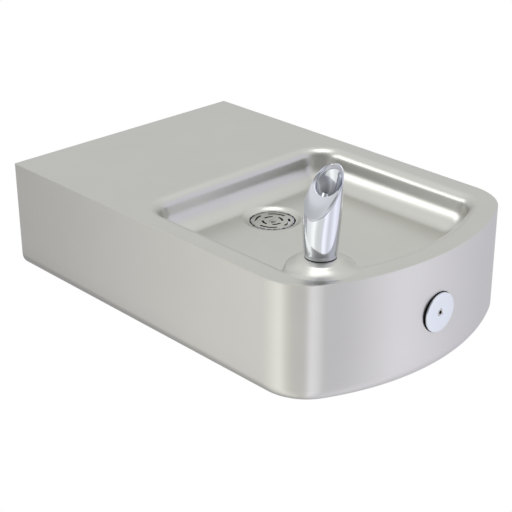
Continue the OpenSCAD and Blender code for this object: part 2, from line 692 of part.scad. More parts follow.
module waste_slip_nut() color(chrome_colour) translate([0, -drain_y, waste_end_z - slip_nut_h / 2]) difference() {
    cylinder(r = slip_nut_r, h = slip_nut_h, $fn = 8);
    translate([0, 0, slip_nut_h / 2]) cylinder(r = thread_r + running_gap, h = slip_nut_h);
    translate([0, 0, -over]) cylinder(r = arm_r + running_gap, h = slip_nut_h);
}

// Ring inside the wall of the elbow that joins its bend to a straight end
module elbow_collar() difference() {
    z_cylinder(0, 0, arm_r + arm_wall / 2, -collar_half, collar_half);
    z_cylinder(0, 0, arm_r - arm_wall / 2, -collar_half - over, collar_half + over);
}

module waste_elbow() color(chrome_colour) {
    difference() {
        z_cylinder(0, -drain_y, arm_r, elbow_z, elbow_top_z);
        z_cylinder(0, -drain_y, arm_r - arm_wall, elbow_z - over, elbow_top_z + over);
    }
    translate([0, -drain_y, elbow_z]) elbow_collar();
    translate([0, elbow_y, elbow_z]) rotate([0, 90, 0]) rotate([0, 0, -90])
        rotate_extrude(angle = 90) translate([elbow_r, 0]) difference() {
            circle(r = arm_r);
            circle(r = arm_r - arm_wall);
        }
    translate([0, elbow_y, -arm_drop]) rotate([90, 0, 0]) elbow_collar();
    difference() {
        union() {
            y_cylinder(0, -arm_drop, arm_r, elbow_y, arm_y0);
            y_cylinder(0, -arm_drop, socket_r, arm_y0 - arm_wall, arm_y0 + socket_len);
        }
        y_cylinder(0, -arm_drop, arm_r - arm_wall, elbow_y - over, arm_y0 + over);
        y_cylinder(0, -arm_drop, arm_r + seat_gap, arm_y0, arm_y0 + socket_len + over);
    }
}

module arm_slip_nut() color(chrome_colour) difference() {
    translate([0, arm_y0 + socket_len + slip_nut_h / 2, -arm_drop]) rotate([90, 0, 0])
        cylinder(r = arm_nut_r, h = slip_nut_h, $fn = 8);
    y_cylinder(0, -arm_drop, socket_r + running_gap, arm_y0, arm_y0 + socket_len + running_gap);
    y_cylinder(0, -arm_drop, arm_r + running_gap, arm_y0, arm_y0 + socket_len + slip_nut_h);
}

module waste_arm() color(chrome_colour) difference() {
    union() {
        y_cylinder(0, -arm_drop, arm_r, arm_y0 + free_gap, arm_past_wall);
        y_cylinder(0, -arm_drop, arm_r + arm_wall, bead_y, bead_y + bead_len);
    }
    y_cylinder(0, -arm_drop, arm_r - arm_wall, arm_y0, arm_past_wall + over);
}

module push_button() color(cap_colour) translate([0, cap_back_y, button_z]) rotate([90, 0, 0])
    rotate_extrude($fn = 96) polygon(concat(
        [[button_screw_r + seat_gap, 0], [button_r, 0]],
        arc(button_r - button_cap_t / 2, button_cap_t / 2, button_cap_t / 2, 0, 90, 4),
        [[button_screw_r + seat_gap, button_cap_t]]
    ));

module button_screw() color(steel_colour) difference() {
    union() {
        y_cylinder(0, button_z, button_screw_r, cap_back_y - button_cap_t * 0.85, cap_back_y);
        y_cylinder(0, button_z, stem_r / 2, cap_back_y, button_disc_y + stem_r * 2);
    }
    y_hexagon(0, button_z, button_socket_r, cap_back_y - button_cap_t - over, cap_back_y - button_cap_t * 0.15);
}

module button_body() color(plastic_colour) difference() {
    y_cylinder(0, button_z, button_body_r, cap_back_y, button_skirt_y);
    y_cylinder(0, button_z, button_body_r - button_wall, button_disc_y, button_skirt_y + over);
    y_cylinder(0, button_z, stem_r / 2 + seat_gap, cap_back_y - over, button_disc_y + over);
}

module button_guide() color(plastic_colour) difference() {
    union() {
        intersection() {
            y_cylinder(0, button_z, guide_flange_r, panel_y, guide_flange_y);
            translate([0, front_cy, body_bottom])
                cylinder(r = front_r - sheet_t - seat_gap, h = body_h, $fn = 720);
        }
        y_cylinder(0, button_z, guide_r, guide_flange_y - guide_wall, guide_back_y);
    }
    y_cylinder(0, button_z, guide_bore_r, panel_y - over, guide_inner_y);
    y_cylinder(0, button_z, hole_r, panel_y - over, button_disc_y + free_gap);
    y_cylinder(0, button_z, nose_r + seat_gap, guide_inner_y - over, guide_back_y + over);
    for (turn = [45:90:315]) y_cylinder(stud_at * cos(turn), button_z + stud_at * sin(turn), stud_r + seat_gap,
        panel_y, guide_flange_y + over);
}

module guide_nuts() color(zinc_colour) for (turn = [45:90:315])
    translate([stud_at * cos(turn), 0, button_z + stud_at * sin(turn)]) difference() {
        y_hexagon(0, 0, guide_nut_r, guide_flange_y, guide_flange_y + guide_wall);
        y_cylinder(0, 0, stud_r + running_gap, panel_y, stud_end_y + over);
    }

// Stations of the return spring's wire about the button's axis: turn, place along Y and tilt towards Y.
// Each end runs straight for one wire diameter, square to the disc or the nose that it presses on.
spring_y0 = button_disc_y + seat_gap;
spring_y1 = nose_y - seat_gap;
spring_foot = spring_wire_r * 2;
spring_bend = spring_wire_r * 1.4;
spring_bend_turn = 12;
spring_low = spring_y0 + spring_foot + spring_bend;
spring_high = spring_y1 - spring_foot - spring_bend;
spring_turned = spring_turns * 360;
spring_steps = spring_turns * 8;
spring_stations = concat(
    [[0, spring_y0, 90], [0, spring_y0 + spring_foot, 90], [spring_bend_turn / 2, spring_low - spring_bend / 3, 45]],
    [for (i = [0:spring_steps]) let (s = i / spring_steps)
        [spring_bend_turn + (spring_turned - spring_bend_turn * 2) * s, spring_low + (spring_high - spring_low) * s, 0]],
    [[spring_turned - spring_bend_turn / 2, spring_high + spring_bend / 3, 45],
        [spring_turned, spring_y1 - spring_foot, 90], [spring_turned, spring_y1, 90]]
);
function spring_out(turn) = [cos(turn), 0, sin(turn)];
function spring_centre(s) = [0, s[1], button_z] + spring_coil_r * spring_out(s[0]);
function spring_ring(s) =
    let (outward = spring_out(s[0]), way = cos(s[2]) * [-sin(s[0]), 0, cos(s[0])] + sin(s[2]) * [0, 1, 0],
        other = cross(way, outward))
    [for (j = [0:5]) spring_centre(s) + spring_wire_r * (cos(60 * j) * outward + sin(60 * j) * other)];
spring_last = len(spring_stations) - 1;
spring_gap = min([for (i = [0:spring_last - 6]) for (j = [i + 6:spring_last])
    norm(spring_centre(spring_stations[i]) - spring_centre(spring_stations[j]))]) - spring_wire_r * 2;
echo(least_gap_between_spring_turns = spring_gap);

module return_spring() color(zinc_colour) loft([for (s = spring_stations) spring_ring(s)]);

module valve_stem() color(steel_colour) difference() {
    y_cylinder(0, button_z, stem_r, button_disc_y, stem_end_y);
    y_cylinder(0, button_z, stem_r / 2 + running_gap, button_disc_y - over, button_disc_y + stem_r * 2 + free_gap);
}

module valve_locknut() color(brass_colour) difference() {
    y_hexagon(0, button_z, nose_r * 1.4, guide_inner_y - nose_r * 0.4, guide_inner_y);
    y_cylinder(0, button_z, nose_r + running_gap, nose_y - over, guide_back_y);
}

module valve_body() color(brass_colour) difference() {
    union() {
        y_cylinder(0, button_z, nose_r, nose_y, guide_back_y);
        y_cylinder(0, button_z, valve_r, guide_back_y, valve_end_y);
        x_cylinder(port_y, button_z, port_r, -port_end_x, port_end_x);
        z_cylinder(0, port_y, flow_boss_r, flow_boss_z, button_z);
    }
    y_cylinder(0, button_z, stem_r + running_gap, nose_y - over, chamber_y + over);
    y_cylinder(0, button_z, chamber_r, chamber_y, valve_end_y + over);
    x_cylinder(port_y, button_z, tube_bore_r, -port_end_x - over, port_end_x + over);
    z_cylinder(0, port_y, flow_screw_r + running_gap, flow_boss_z - over, button_z);
}

module valve_cartridge() color(plastic_colour) difference() {
    y_cylinder(0, button_z, chamber_r - seat_gap, chamber_y, cartridge_end_y);
    y_cylinder(0, button_z, stem_r + free_gap, chamber_y - over, cartridge_end_y - stem_r);
    x_cylinder(port_y, button_z, tube_r * 0.6, -valve_r, valve_r);
}

module valve_cap() color(brass_colour) {
    y_cylinder(0, button_z, chamber_r - seat_gap, valve_end_y - cap_plug_len, valve_end_y);
    y_hexagon(0, button_z, valve_r * 0.95, valve_end_y, valve_end_y + cap_plug_len);
}

module flow_screw() color(steel_colour) difference() {
    union() {
        z_cylinder(0, port_y, flow_screw_r, flow_head_z, flow_tip_z);
        z_cylinder(0, port_y, flow_screw_r * 1.8, flow_head_z - stud_r, flow_head_z);
    }
    translate([-flow_screw_r * 2, port_y - flow_screw_r / 4, flow_head_z - stud_r - over])
        cube([flow_screw_r * 4, flow_screw_r / 2, over + stud_r / 2]);
}

module port_nut(side) {
    translate([side * (port_end_x - port_nut_len * 0.55 + port_nut_len), port_y, button_z])
        rotate([0, -90 * side, 0]) tube_nut(port_r, port_nut_len);
}

module inlet_nut() color(brass_colour) port_nut(1);

module outlet_nut() color(brass_colour) port_nut(-1);

module supply_stop() color(chrome_colour) difference() {
    union() {
        y_cylinder(stop_x, 0, stop_shank_r, stop_block_y, stop_mouth_y);
        y_cylinder(stop_x, 0, stop_collar_r, -rail_t, stop_mouth_y);
        y_cylinder(stop_x, 0, stop_r, stop_block_end_y, stop_block_y);
        y_cylinder(stop_x, 0, tail_r, stop_outlet_y, stop_block_end_y);
        z_cylinder(stop_x, stop_stem_y, stop_boss_r, stop_boss_z, 0);
    }
    y_cylinder(stop_x, 0, stop_thread_r, stop_mouth_y - stop_thread_len, stop_mouth_y + over);
    y_cylinder(stop_x, 0, tube_bore_r, stop_outlet_y - over, stop_mouth_y);
    z_cylinder(stop_x, stop_stem_y, stop_stem_r + running_gap, stop_boss_z - over, -tube_r);
}

module stop_bonnet() color(chrome_colour) difference() {
    z_hexagon(stop_x, stop_stem_y, bonnet_r, stop_boss_z - bonnet_t, stop_boss_z);
    z_cylinder(stop_x, stop_stem_y, stop_stem_r + running_gap, stop_boss_z - bonnet_t - over, stop_boss_z + over);
}

module stop_stem() color(brass_colour) difference() {
    union() {
        z_cylinder(stop_x, stop_stem_y, stop_stem_r, stop_boss_z - bonnet_t - free_gap, -tube_r * 2);
        z_cylinder(stop_x, stop_stem_y, stop_head_r, stop_boss_z - bonnet_t - free_gap - stop_head_t,
            stop_boss_z - bonnet_t - free_gap);
    }
    translate([stop_x - stop_head_r * 2, stop_stem_y - stop_stem_r / 5, stop_boss_z - bonnet_t - free_gap - stop_head_t - over])
        cube([stop_head_r * 4, stop_stem_r * 0.4, over + stop_head_t / 2]);
}

module stop_outlet_nut() color(brass_colour)
    translate([stop_x, stop_outlet_y - port_nut_len * 0.45, 0]) rotate([-90, 0, 0]) tube_nut(tail_r, port_nut_len);

module stop_locknut() color(brass_colour) difference() {
    y_hexagon(stop_x, 0, stop_shank_r * 1.4, stop_locknut_y, bracket_y);
    y_cylinder(stop_x, 0, stop_shank_r + running_gap, stop_locknut_y - over, bracket_y + over);
}

module stop_bracket() color(zinc_colour) difference() {
    translate([stop_x - bracket_half_w, bracket_y, bracket_low_z])
        cube([bracket_half_w * 2, rail_t, bracket_high_z - bracket_low_z]);
    y_cylinder(stop_x, 0, stop_shank_r + seat_gap, bracket_y - over, -rail_t + over);
    for (side = [-1, 1]) y_cylinder(stop_x + side * bracket_half_w / 2, bracket_screw_z, bracket_screw_r + seat_gap,
        bracket_y - over, -rail_t + over);
}

module bracket_screws() color(steel_colour) for (side = [-1, 1])
    translate([stop_x + side * bracket_half_w / 2, 0, bracket_screw_z]) {
        y_cylinder(0, 0, bracket_screw_r, bracket_y, -rail_t / 6);
        y_hexagon(0, 0, bracket_screw_r * 2, bracket_y - bracket_screw_r * 1.2, bracket_y);
    }

body_shell();
basin_tray();
bottom_cover();
cover_screws();
cover_clips();
upper_wall_rail();
lower_wall_rail();
hanger_channel();
rail_screws();
bubbler();
bubbler_nozzle();
bubbler_gasket();
bubbler_shank();
bubbler_washer();
bubbler_locknut();
bubbler_tube_nut();
bubbler_tube();
drain_strainer();
strainer_screw();
waste_body();
waste_gasket();
waste_locknut();
waste_slip_nut();
waste_elbow();
arm_slip_nut();
waste_arm();
push_button();
button_screw();
button_body();
button_guide();
guide_nuts();
return_spring();
valve_stem();
valve_locknut();
valve_body();
valve_cartridge();
valve_cap();
flow_screw();
inlet_nut();
outlet_nut();
supply_tube();
supply_stop();
stop_bonnet();
stop_stem();
stop_outlet_nut();
stop_locknut();
stop_bracket();
bracket_screws();
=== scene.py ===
"""Looks of a wall-mounted drinking fountain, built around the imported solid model.

The body is folded from brushed stainless sheet, the tray is pressed from one sheet with a bowl
and a raised pad, the bubbler is chrome plated and the button's cap is polished steel.
Sizes are written in millimetres, in the frame of the solid model, and turned to metres once.
"""

from __future__ import annotations

import json
import logging
import math
from dataclasses import dataclass
from enum import Enum
from typing import Callable, Sequence

import bpy
import numpy as np
from bpy.types import Material, Node, NodeSocket as Socket, NodeTree as Tree, Object
from mathutils import Matrix, Vector

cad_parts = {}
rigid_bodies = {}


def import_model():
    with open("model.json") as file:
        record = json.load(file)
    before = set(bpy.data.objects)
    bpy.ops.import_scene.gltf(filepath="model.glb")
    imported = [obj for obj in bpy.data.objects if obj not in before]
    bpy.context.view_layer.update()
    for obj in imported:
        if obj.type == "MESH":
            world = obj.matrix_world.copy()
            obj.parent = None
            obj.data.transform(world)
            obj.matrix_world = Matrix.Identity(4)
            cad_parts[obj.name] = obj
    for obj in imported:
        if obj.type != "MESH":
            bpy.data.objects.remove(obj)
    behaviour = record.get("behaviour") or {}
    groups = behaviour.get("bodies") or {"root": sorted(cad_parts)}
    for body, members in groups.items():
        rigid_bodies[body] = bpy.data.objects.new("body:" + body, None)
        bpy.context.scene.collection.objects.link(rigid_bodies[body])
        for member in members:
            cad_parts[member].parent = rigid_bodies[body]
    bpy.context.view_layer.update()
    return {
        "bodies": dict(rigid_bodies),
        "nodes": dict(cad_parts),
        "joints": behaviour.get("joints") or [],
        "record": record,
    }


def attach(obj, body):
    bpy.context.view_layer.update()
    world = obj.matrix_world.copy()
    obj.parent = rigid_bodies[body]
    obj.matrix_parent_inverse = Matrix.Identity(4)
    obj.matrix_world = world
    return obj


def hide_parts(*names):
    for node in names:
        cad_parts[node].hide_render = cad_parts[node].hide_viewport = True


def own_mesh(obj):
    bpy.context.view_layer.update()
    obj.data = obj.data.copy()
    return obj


LOG = logging.getLogger("fountain")
MM = 0.001
Array = np.ndarray
Level = Callable[[Array, Array, Array], Array]
Point = tuple[float, float]
Triple = tuple[float, float, float]
Colour = tuple[float, float, float, float]
Station = tuple[float, float, float, float]
Face = list[int]
Part = tuple[Array, list[Face]]
WHITE = (1.0, 1.0, 1.0, 1.0)
# Height of a finish's fine relief
BUMP_MM = 0.05
# Hand marks on sheet: their width, and the shade that they darken it to
SMEAR_MM = 60.0
SMEAR_SHADE = 0.94
# Painted shade in punched slots and sockets
RECESS_PAINTED_SHADE = "#121212"
# Painted shade in hollow chrome: the dark colour painted where chrome would mirror its own dark inside, and the
# shares of the depth where that starts and is full
HOLLOW_PAINTED_SHADE = "#30343a"
HOLLOW_DEPTHS = (0.5, 0.85)
# Half width of the square of the front round the button, and the width of the mesh's columns there
BUTTON_PATCH = 32.0
FRONT_STEP = 4.0


def linear(hex_colour: str) -> Colour:
    """Turn an sRGB hex colour to linear red, green, blue and alpha.

    Args:
        hex_colour: The colour, written as "#rrggbb".

    Returns:
        The linear colour with an alpha of 1.
    """
    parts = [int(hex_colour[i : i + 2], 16) / 255 for i in (1, 3, 5)]
    red, green, blue = (p / 12.92 if p <= 0.04045 else ((p + 0.055) / 1.055) ** 2.4 for p in parts)
    return (red, green, blue, 1.0)


def add_node(tree: Tree, kind: str, settings: dict[object, object], links: dict[object, Socket]) -> Node:
    """Add a node, set its properties and input values, and link its inputs.

    Args:
        tree: The node tree.
        kind: The node's type name, without ShaderNode.
        settings: Property names, or ("in", name or index) keys, with their values.
        links: Input names or indices, each with the output socket that feeds it.

    Returns:
        The new node.
    """
    node = tree.nodes.new("ShaderNode" + kind)
    for key, value in settings.items():
        if isinstance(key, tuple):
            node.inputs[key[1]].default_value = value
        else:
            setattr(node, key, value)
    for name, source in links.items():
        tree.links.new(source, node.inputs[name])
    return node


def blank_material(name: str, metallic: float) -> tuple[Material, Tree, Node]:
    """Return a new material with its node tree and its shader."""
    material = bpy.data.materials.new(name)
    material.use_nodes = True
    shader = material.node_tree.nodes["Principled BSDF"]
    shader.inputs["Metallic"].default_value = metallic
    return material, material.node_tree, shader


def noise(tree: Tree, place: Socket, width_mm: float, detail: float, roughness: float = 0.5) -> Socket:
    """Return a cloudy value from 0 to 1, with clouds about as wide as given."""
    settings = {("in", "Scale"): 1.0 / (width_mm * MM), ("in", "Detail"): detail}
    settings["in", "Roughness"] = roughness
    return add_node(tree, "TexNoise", settings, {"Vector": place}).outputs["Fac"]


def ranged(tree: Tree, value: Socket, before: Point, after: Point, kind: str = "LINEAR") -> Socket:
    """Return a value moved from one range to another, each a low and a high end."""
    settings = {
        "interpolation_type": kind,
        ("in", "From Min"): before[0],
        ("in", "From Max"): before[1],
        ("in", "To Min"): after[0],
        ("in", "To Max"): after[1],
    }
    return add_node(tree, "MapRange", settings, {"Value": value}).outputs["Result"]


def mixed(tree: Tree, share: Socket, first: Socket | Colour, second: Colour) -> Socket:
    """Return a colour between two, of which the first may come from another node."""
    settings, links = {"data_type": "RGBA", ("in", 7): second}, {0: share}
    if isinstance(first, tuple):
        settings["in", 6] = first
    else:
        links[6] = first
    return add_node(tree, "Mix", settings, links).outputs[2]


def clouded(tree: Tree, hex_colour: str, clouds: Socket, least: float) -> Socket:
    """Return a colour that clouds darken, down to a share of it."""
    base = linear(hex_colour)
    return mixed(tree, clouds, tuple(least * c for c in base[:3]) + (1.0,), base)


def add_bump(tree: Tree, shader: Node, height: Socket, strength: float) -> None:
    """Give a shader's surface the relief of a height value."""
    settings = {("in", "Strength"): strength, ("in", "Distance"): BUMP_MM * MM}
    bump = add_node(tree, "Bump", settings, {"Height": height})
    tree.links.new(bump.outputs["Normal"], shader.inputs["Normal"])


def choose(tree: Tree, test: Socket, usual: Socket, special: Socket) -> Socket:
    """Return the special shader where the test is 1 and the usual one elsewhere."""
    return add_node(tree, "MixShader", {}, {0: test, 1: usual, 2: special}).outputs[0]


class Grain(Enum):
    """Which way the polishing belt ran over a surface."""

    ALONG_X = (0.02, 1.0, 1.0)
    ALONG_Y = (1.0, 0.02, 1.0)
    AROUND = (0.02, 0.02, 1.0)
    NONE = (1.0, 1.0, 1.0)


@dataclass(frozen=True)
class BrushedSteel:
    """Stainless 304 sheet with a number 4 belt finish.

    Fine parallel scratches blur a reflection and streak it across the grain.
    A real scratch is about 0.05 mm wide, too fine to show, so they are drawn 0.6 mm apart.
    Where inwards is given, the steel is painted dark past face_mm in that direction, as painted shade in a
    hollow.
    """

    name: str
    colour: str
    roughness: float = 0.3
    grain: Grain = Grain.ALONG_Y
    scratch_mm: float = 0.6
    depth: float = 0.05
    spread: float = 0.05
    streak: float = 0.0
    inwards: Triple = (0.0, 0.0, 0.0)
    face_mm: float = 0.0

    def material(self) -> Material:
        """Return the node material of this finish."""
        material, tree, shader = blank_material(self.name, 1.0)
        shader.inputs["Anisotropic"].default_value = self.streak
        # A quarter of a turn lays the streak across the grain
        shader.inputs["Anisotropic Rotation"].default_value = 0.25 if self.streak else 0.0
        place = add_node(tree, "TexCoord", {}, {}).outputs["Object"]
        stretch = add_node(tree, "Mapping", {("in", "Scale"): self.grain.value}, {"Vector": place})
        scratches = noise(tree, stretch.outputs["Vector"], self.scratch_mm, 3.0, 0.6)
        shade = clouded(tree, self.colour, noise(tree, place, SMEAR_MM, 2.0), SMEAR_SHADE)
        if any(self.inwards):
            # Painted shade: punched slots and sockets are painted dark past their bright face, where their
            # hollows are in shade
            inwards = {"operation": "DOT_PRODUCT", ("in", 1): self.inwards}
            along = add_node(tree, "VectorMath", inwards, {0: place}).outputs["Value"]
            past_face = {"operation": "GREATER_THAN", ("in", 1): self.face_mm * MM}
            deep = add_node(tree, "Math", past_face, {0: along}).outputs["Value"]
            shade = mixed(tree, deep, shade, linear(RECESS_PAINTED_SHADE))
        rough = ranged(tree, scratches, (0, 1), (self.roughness - self.spread, self.roughness + self.spread))
        tree.links.new(shade, shader.inputs["Base Color"])
        tree.links.new(rough, shader.inputs["Roughness"])
        add_bump(tree, shader, scratches, self.depth)
        return material


@dataclass(frozen=True)
class Plain:
    """A finish with a fine cloudy variation of colour and gloss, such as plating, moulding or casting."""

    name: str
    colour: str
    roughness: float
    metallic: float = 0.0
    cloud_mm: float = 12.0
    variation: float = 0.06
    bump_mm: float = 0.0
    # How dark the painted shade deep in a hollow gets
    shadow: float = 0.0

    def material(self) -> Material:
        """Return the node material of this finish."""
        material, tree, shader = blank_material(self.name, self.metallic)
        place = add_node(tree, "TexCoord", {}, {}).outputs["Object"]
        clouds = noise(tree, place, self.cloud_mm, 3.0)
        shade = clouded(tree, self.colour, clouds, 1 - self.variation)
        if self.shadow > 0:
            # Painted shade: deep in a hollow, marked on the mesh as depth, the colour is darkened as the
            # plating would mirror only its own dark inside
            depth = add_node(tree, "Attribute", {"attribute_name": "depth"}, {}).outputs["Fac"]
            fade = ranged(tree, depth, HOLLOW_DEPTHS, (0.0, self.shadow))
            shade = mixed(tree, fade, shade, linear(HOLLOW_PAINTED_SHADE))
        rough = ranged(tree, clouds, (0, 1), (self.roughness * 0.85, self.roughness * 1.15))
        tree.links.new(shade, shader.inputs["Base Color"])
        tree.links.new(rough, shader.inputs["Roughness"])
        if self.bump_mm > 0:
            add_bump(tree, shader, noise(tree, place, self.bump_mm, 2.0), 0.15)
        return material


DECK_STEEL = BrushedSteel("brushed_stainless_tray", "#d0d0cb", 0.30, Grain.ALONG_Y)
# The belt ran round the body, so a reflection smears up and down and stays narrow sideways.
SHELL_STEEL = BrushedSteel("brushed_stainless_body", "#d2d1ce", 0.30, Grain.AROUND, streak=0.85)
COVER_STEEL = BrushedSteel("brushed_stainless_cover", "#cfcfcb", 0.32, Grain.ALONG_X)
FITTING_STEEL = BrushedSteel("machined_stainless", "#c9c9c4", 0.25, Grain.NONE, 0.4, 0.03)
# The strainer's slots and the screw's socket get painted shade past their face
STRAINER_STEEL = BrushedSteel(
    "punched_stainless", "#c9c9c4", 0.25, Grain.NONE, 0.4, 0.03, inwards=(0.0, 0.0, -1.0), face_mm=-24.35
)
SOCKET_STEEL = BrushedSteel(
    "socket_screw_steel", "#c9c9c4", 0.2, Grain.NONE, 0.4, 0.03, inwards=(0.0, 1.0, 0.0), face_mm=-469.25
)
CAP_STEEL = BrushedSteel("polished_stainless_cap", "#dfe4ea", 0.16, Grain.NONE, 0.3, 0.01, 0.02)
# Chrome plate over cast brass mirrors its surroundings with hardly any blur.
CHROME = Plain("chrome_plate", "#dcdfe6", 0.09, 1.0, 20.0, 0.03)
# The bubbler's chrome, with painted shade deep in its mouth
BUBBLER_CHROME = Plain("chrome_plate_bubbler", "#dcdfe6", 0.09, 1.0, 20.0, 0.03, shadow=0.85)
# Turned brass keeps a warm, slightly cloudy metal colour.
BRASS = Plain("turned_brass", "#c8a862", 0.3, 1.0)
# Zinc plate on folded steel is grey, dull and spangled at the size of a fingernail.
ZINC = Plain("zinc_plated_steel", "#b2b6b8", 0.42, 1.0, 8.0, 0.18)
# Black acetal is matt, with a fine moulded grain.
BLACK_PLASTIC = Plain("black_acetal", "#1c1d1f", 0.45, 0.0, 6.0, 0.2, 0.5)
RUBBER = Plain("black_nitrile_rubber", "#242424", 0.7, 0.0, 4.0, 0.2, 0.8)
TUBE_PLASTIC = Plain("polyethylene_tube", "#e2e0d8", 0.35, 0.0, 10.0, 0.05)


@dataclass(frozen=True)
class BodyPlan:
    """Plan of the body: two straight sides, two corners and a bowed front."""

    width: float = 305.0
    depth: float = 467.0
    corner_r: float = 56.5
    front_r: float = 266.5
    top: float = 61.5
    bottom: float = -61.5
    sheet: float = 1.5

    @property
    def side_x(self) -> float:
        """Distance of the corners' centres from the middle."""
        return self.width / 2 - self.corner_r

    @property
    def front_cy(self) -> float:
        """Place of the front arc's centre along Y."""
        return self.front_r - self.depth

    @property
    def corner_y(self) -> float:
        """Place of the corners' centres along Y."""
        return self.front_cy - math.sqrt((self.front_r - self.corner_r) ** 2 - self.side_x**2)

    @property
    def turn(self) -> float:
        """Half angle of the front arc, in radians."""
        return math.asin(self.side_x / (self.front_r - self.corner_r))

    def front_y(self, x: float, inset: float) -> float:
        """Return the place along Y of the front arc at x, drawn in by inset."""
        return self.front_cy - math.sqrt((self.front_r - inset) ** 2 - x * x)

    def inset(self, x: Array, y: Array) -> Array:
        """Distance inwards from the sides, the corners and the front.

        Args:
            x: Places along X.
            y: Places along Y.

        Returns:
            The distance at each place, positive inside the body.
        """
        ax = np.abs(x)
        side = self.width / 2 - ax
        corner = self.corner_r - np.hypot(ax - self.side_x, y - self.corner_y)
        front = self.front_r - np.hypot(ax, y - self.front_cy)
        in_front = (y < self.corner_y) & (ax < math.tan(self.turn) * (self.front_cy - y))
        return np.where(in_front, front, np.where(y < self.corner_y, corner, side))

    def path(self, side_steps: int, corner_steps: int, front_xs: Sequence[float]) -> list[Station]:
        """Points with outward normals from the rear left, round the front, to the rear right.

        Args:
            side_steps: Stretches of each straight side.
            corner_steps: Stretches of each corner.
            front_xs: Places along X of the points between the corners, from left to right.

        Returns:
            A list of x, y and the outward normal's x and y.
        """
        points = [(-self.width / 2, self.corner_y * i / side_steps, -1.0, 0.0) for i in range(side_steps)]
        sweep = math.pi / 2 - self.turn
        for i in range(corner_steps + 1):
            a = math.pi + sweep * i / corner_steps
            nx, ny = math.cos(a), math.sin(a)
            points.append((nx * self.corner_r - self.side_x, self.corner_y + ny * self.corner_r, nx, ny))
        for x in front_xs:
            nx = x / self.front_r
            points.append((x, self.front_y(x, 0), nx, -math.sqrt(1 - nx * nx)))
        mirrored = [(-x, y, -nx, ny) for x, y, nx, ny in points[: side_steps + corner_steps + 1]]
        return points + mirrored[::-1]


@dataclass(frozen=True)
class Bowl:
    """The pressed bowl with its rolled rim, dished floor and raised bubbler pad."""

    plan: BodyPlan = BodyPlan()
    rear: float = -183.0
    deck: float = 20.0
    rim_r: float = 9.0
    depth: float = 34.0
    floor_r: float = 18.0
    lean: float = math.radians(15)
    fall: float = 3.0
    dish_r: float = 32.0
    seat_r: float = 24.8
    drain_y: float = -243.0
    pad_x: float = -96.0
    pad_y: float = -404.5
    pad_h: float = 8.5
    blend: float = 5.0

    def rim_inset(self, x: Array, y: Array) -> Array:
        """Distance inwards from the rim line of the bowl."""
        from_edge = self.plan.inset(x, y) - self.deck
        back_r = self.plan.corner_r - self.deck
        back_y = self.rear - back_r
        corner = back_r - np.hypot(np.abs(x) - self.plan.side_x, y - back_y)
        from_rear = np.where((y > back_y) & (np.abs(x) > self.plan.side_x), corner, self.rear - y)
        return np.minimum(from_edge, from_rear)

    def pad(self, radius: Array, z: Array) -> Array:
        """Signed distance to the pad, a body of revolution with rounded edges."""
        top, edge_r = self.plan.top, 1.5
        outline = [(0.0, -40.0), (39.0, -40.0), (38.5, top - self.depth), (36.0, top - 14), (31.0, top - 2.0),
                   (21.0, top + 5.0), (15.5, top + self.pad_h - edge_r), (0.0, top + self.pad_h - edge_r)]
        return signed_distance(outline, radius, z) - edge_r

    def level(self, x: Array, y: Array, z: Array) -> Array:
        """How far a point lies above the pressed sheet, negative under it.

        Args:
            x: Places along X.
            y: Places along Y.
            z: Places along Z.

        Returns:
            A value that is zero on the top of the sheet and close to the distance near it.
        """
        top = self.plan.top
        rolled = self.rim_r * math.tan(math.pi / 4 - self.lean / 2)
        wall_in = self.rim_inset(x, y) - rolled - (top - z) * math.tan(self.lean)
        wall = -wall_in * math.cos(self.lean)
        from_drain = np.hypot(x, y - self.drain_y)
        share = np.clip((self.dish_r - from_drain) / (self.dish_r - self.seat_r), 0, 1)
        floor = top - self.depth - self.fall * share * share * (3 - 2 * share) - z
        hollow = round_corner(wall, floor, self.floor_r)
        metal = round_corner(z - top, -hollow, self.rim_r * 0.92)
        raised = self.pad(np.hypot(x - self.pad_x, y - self.pad_y), z)
        gap = np.clip(0.5 + 0.5 * (raised - metal) / self.blend, 0, 1)
        return raised * (1 - gap) + metal * gap - self.blend * gap * (1 - gap)


def round_corner(a: Array, b: Array, radius: float) -> Array:
    """Join two half spaces with a rounded edge of the given radius."""
    edge = np.hypot(np.maximum(radius + a, 0), np.maximum(radius + b, 0))
    return np.minimum(-radius, np.maximum(a, b)) + edge


def signed_distance(outline: Sequence[Point], u: Array, v: Array) -> Array:
    """Signed distance from points to a closed outline, negative inside it.

    Args:
        outline: Corners of the outline in order.
        u: First coordinates of the points.
        v: Second coordinates of the points.

    Returns:
        The signed distances.
    """
    nearest = np.full(u.shape, np.inf)
    inside = np.zeros(u.shape, dtype=bool)
    for (u0, v0), (u1, v1) in zip(outline, list(outline[1:]) + [outline[0]]):
        du, dv = u1 - u0, v1 - v0
        t = np.clip(((u - u0) * du + (v - v0) * dv) / (du * du + dv * dv), 0, 1)
        if not (u0 == 0 and u1 == 0):
            nearest = np.minimum(nearest, np.hypot(u - u0 - t * du, v - v0 - t * dv))
        if v0 != v1:
            crosses = (v0 > v) != (v1 > v)
            inside ^= crosses & (u < u0 + (v - v0) * du / dv)
    return np.where(inside, -nearest, nearest)


def mesh_object(name: str, points: Array, faces: Sequence[Sequence[int]], sharp_deg: float = 35.0) -> Object:
    """Make a smooth-shaded mesh object from points in millimetres.

    Args:
        name: The object's name.
        points: One row of x, y and z for each point.
        faces: Point numbers of each face.
        sharp_deg: Angle above which an edge stays sharp.

    Returns:
        The new object, linked to the scene.
    """
    mesh = bpy.data.meshes.new(name)
    mesh.from_pydata((np.asarray(points, dtype=float) * MM).tolist(), [], [list(f) for f in faces])
    mesh.validate()
    mesh.polygons.foreach_set("use_smooth", [True] * len(mesh.polygons))
    mesh.set_sharp_from_angle(angle=math.radians(sharp_deg))
    mesh.update()
    thing = bpy.data.objects.new(name, mesh)
    bpy.context.scene.collection.objects.link(thing)
    return thing


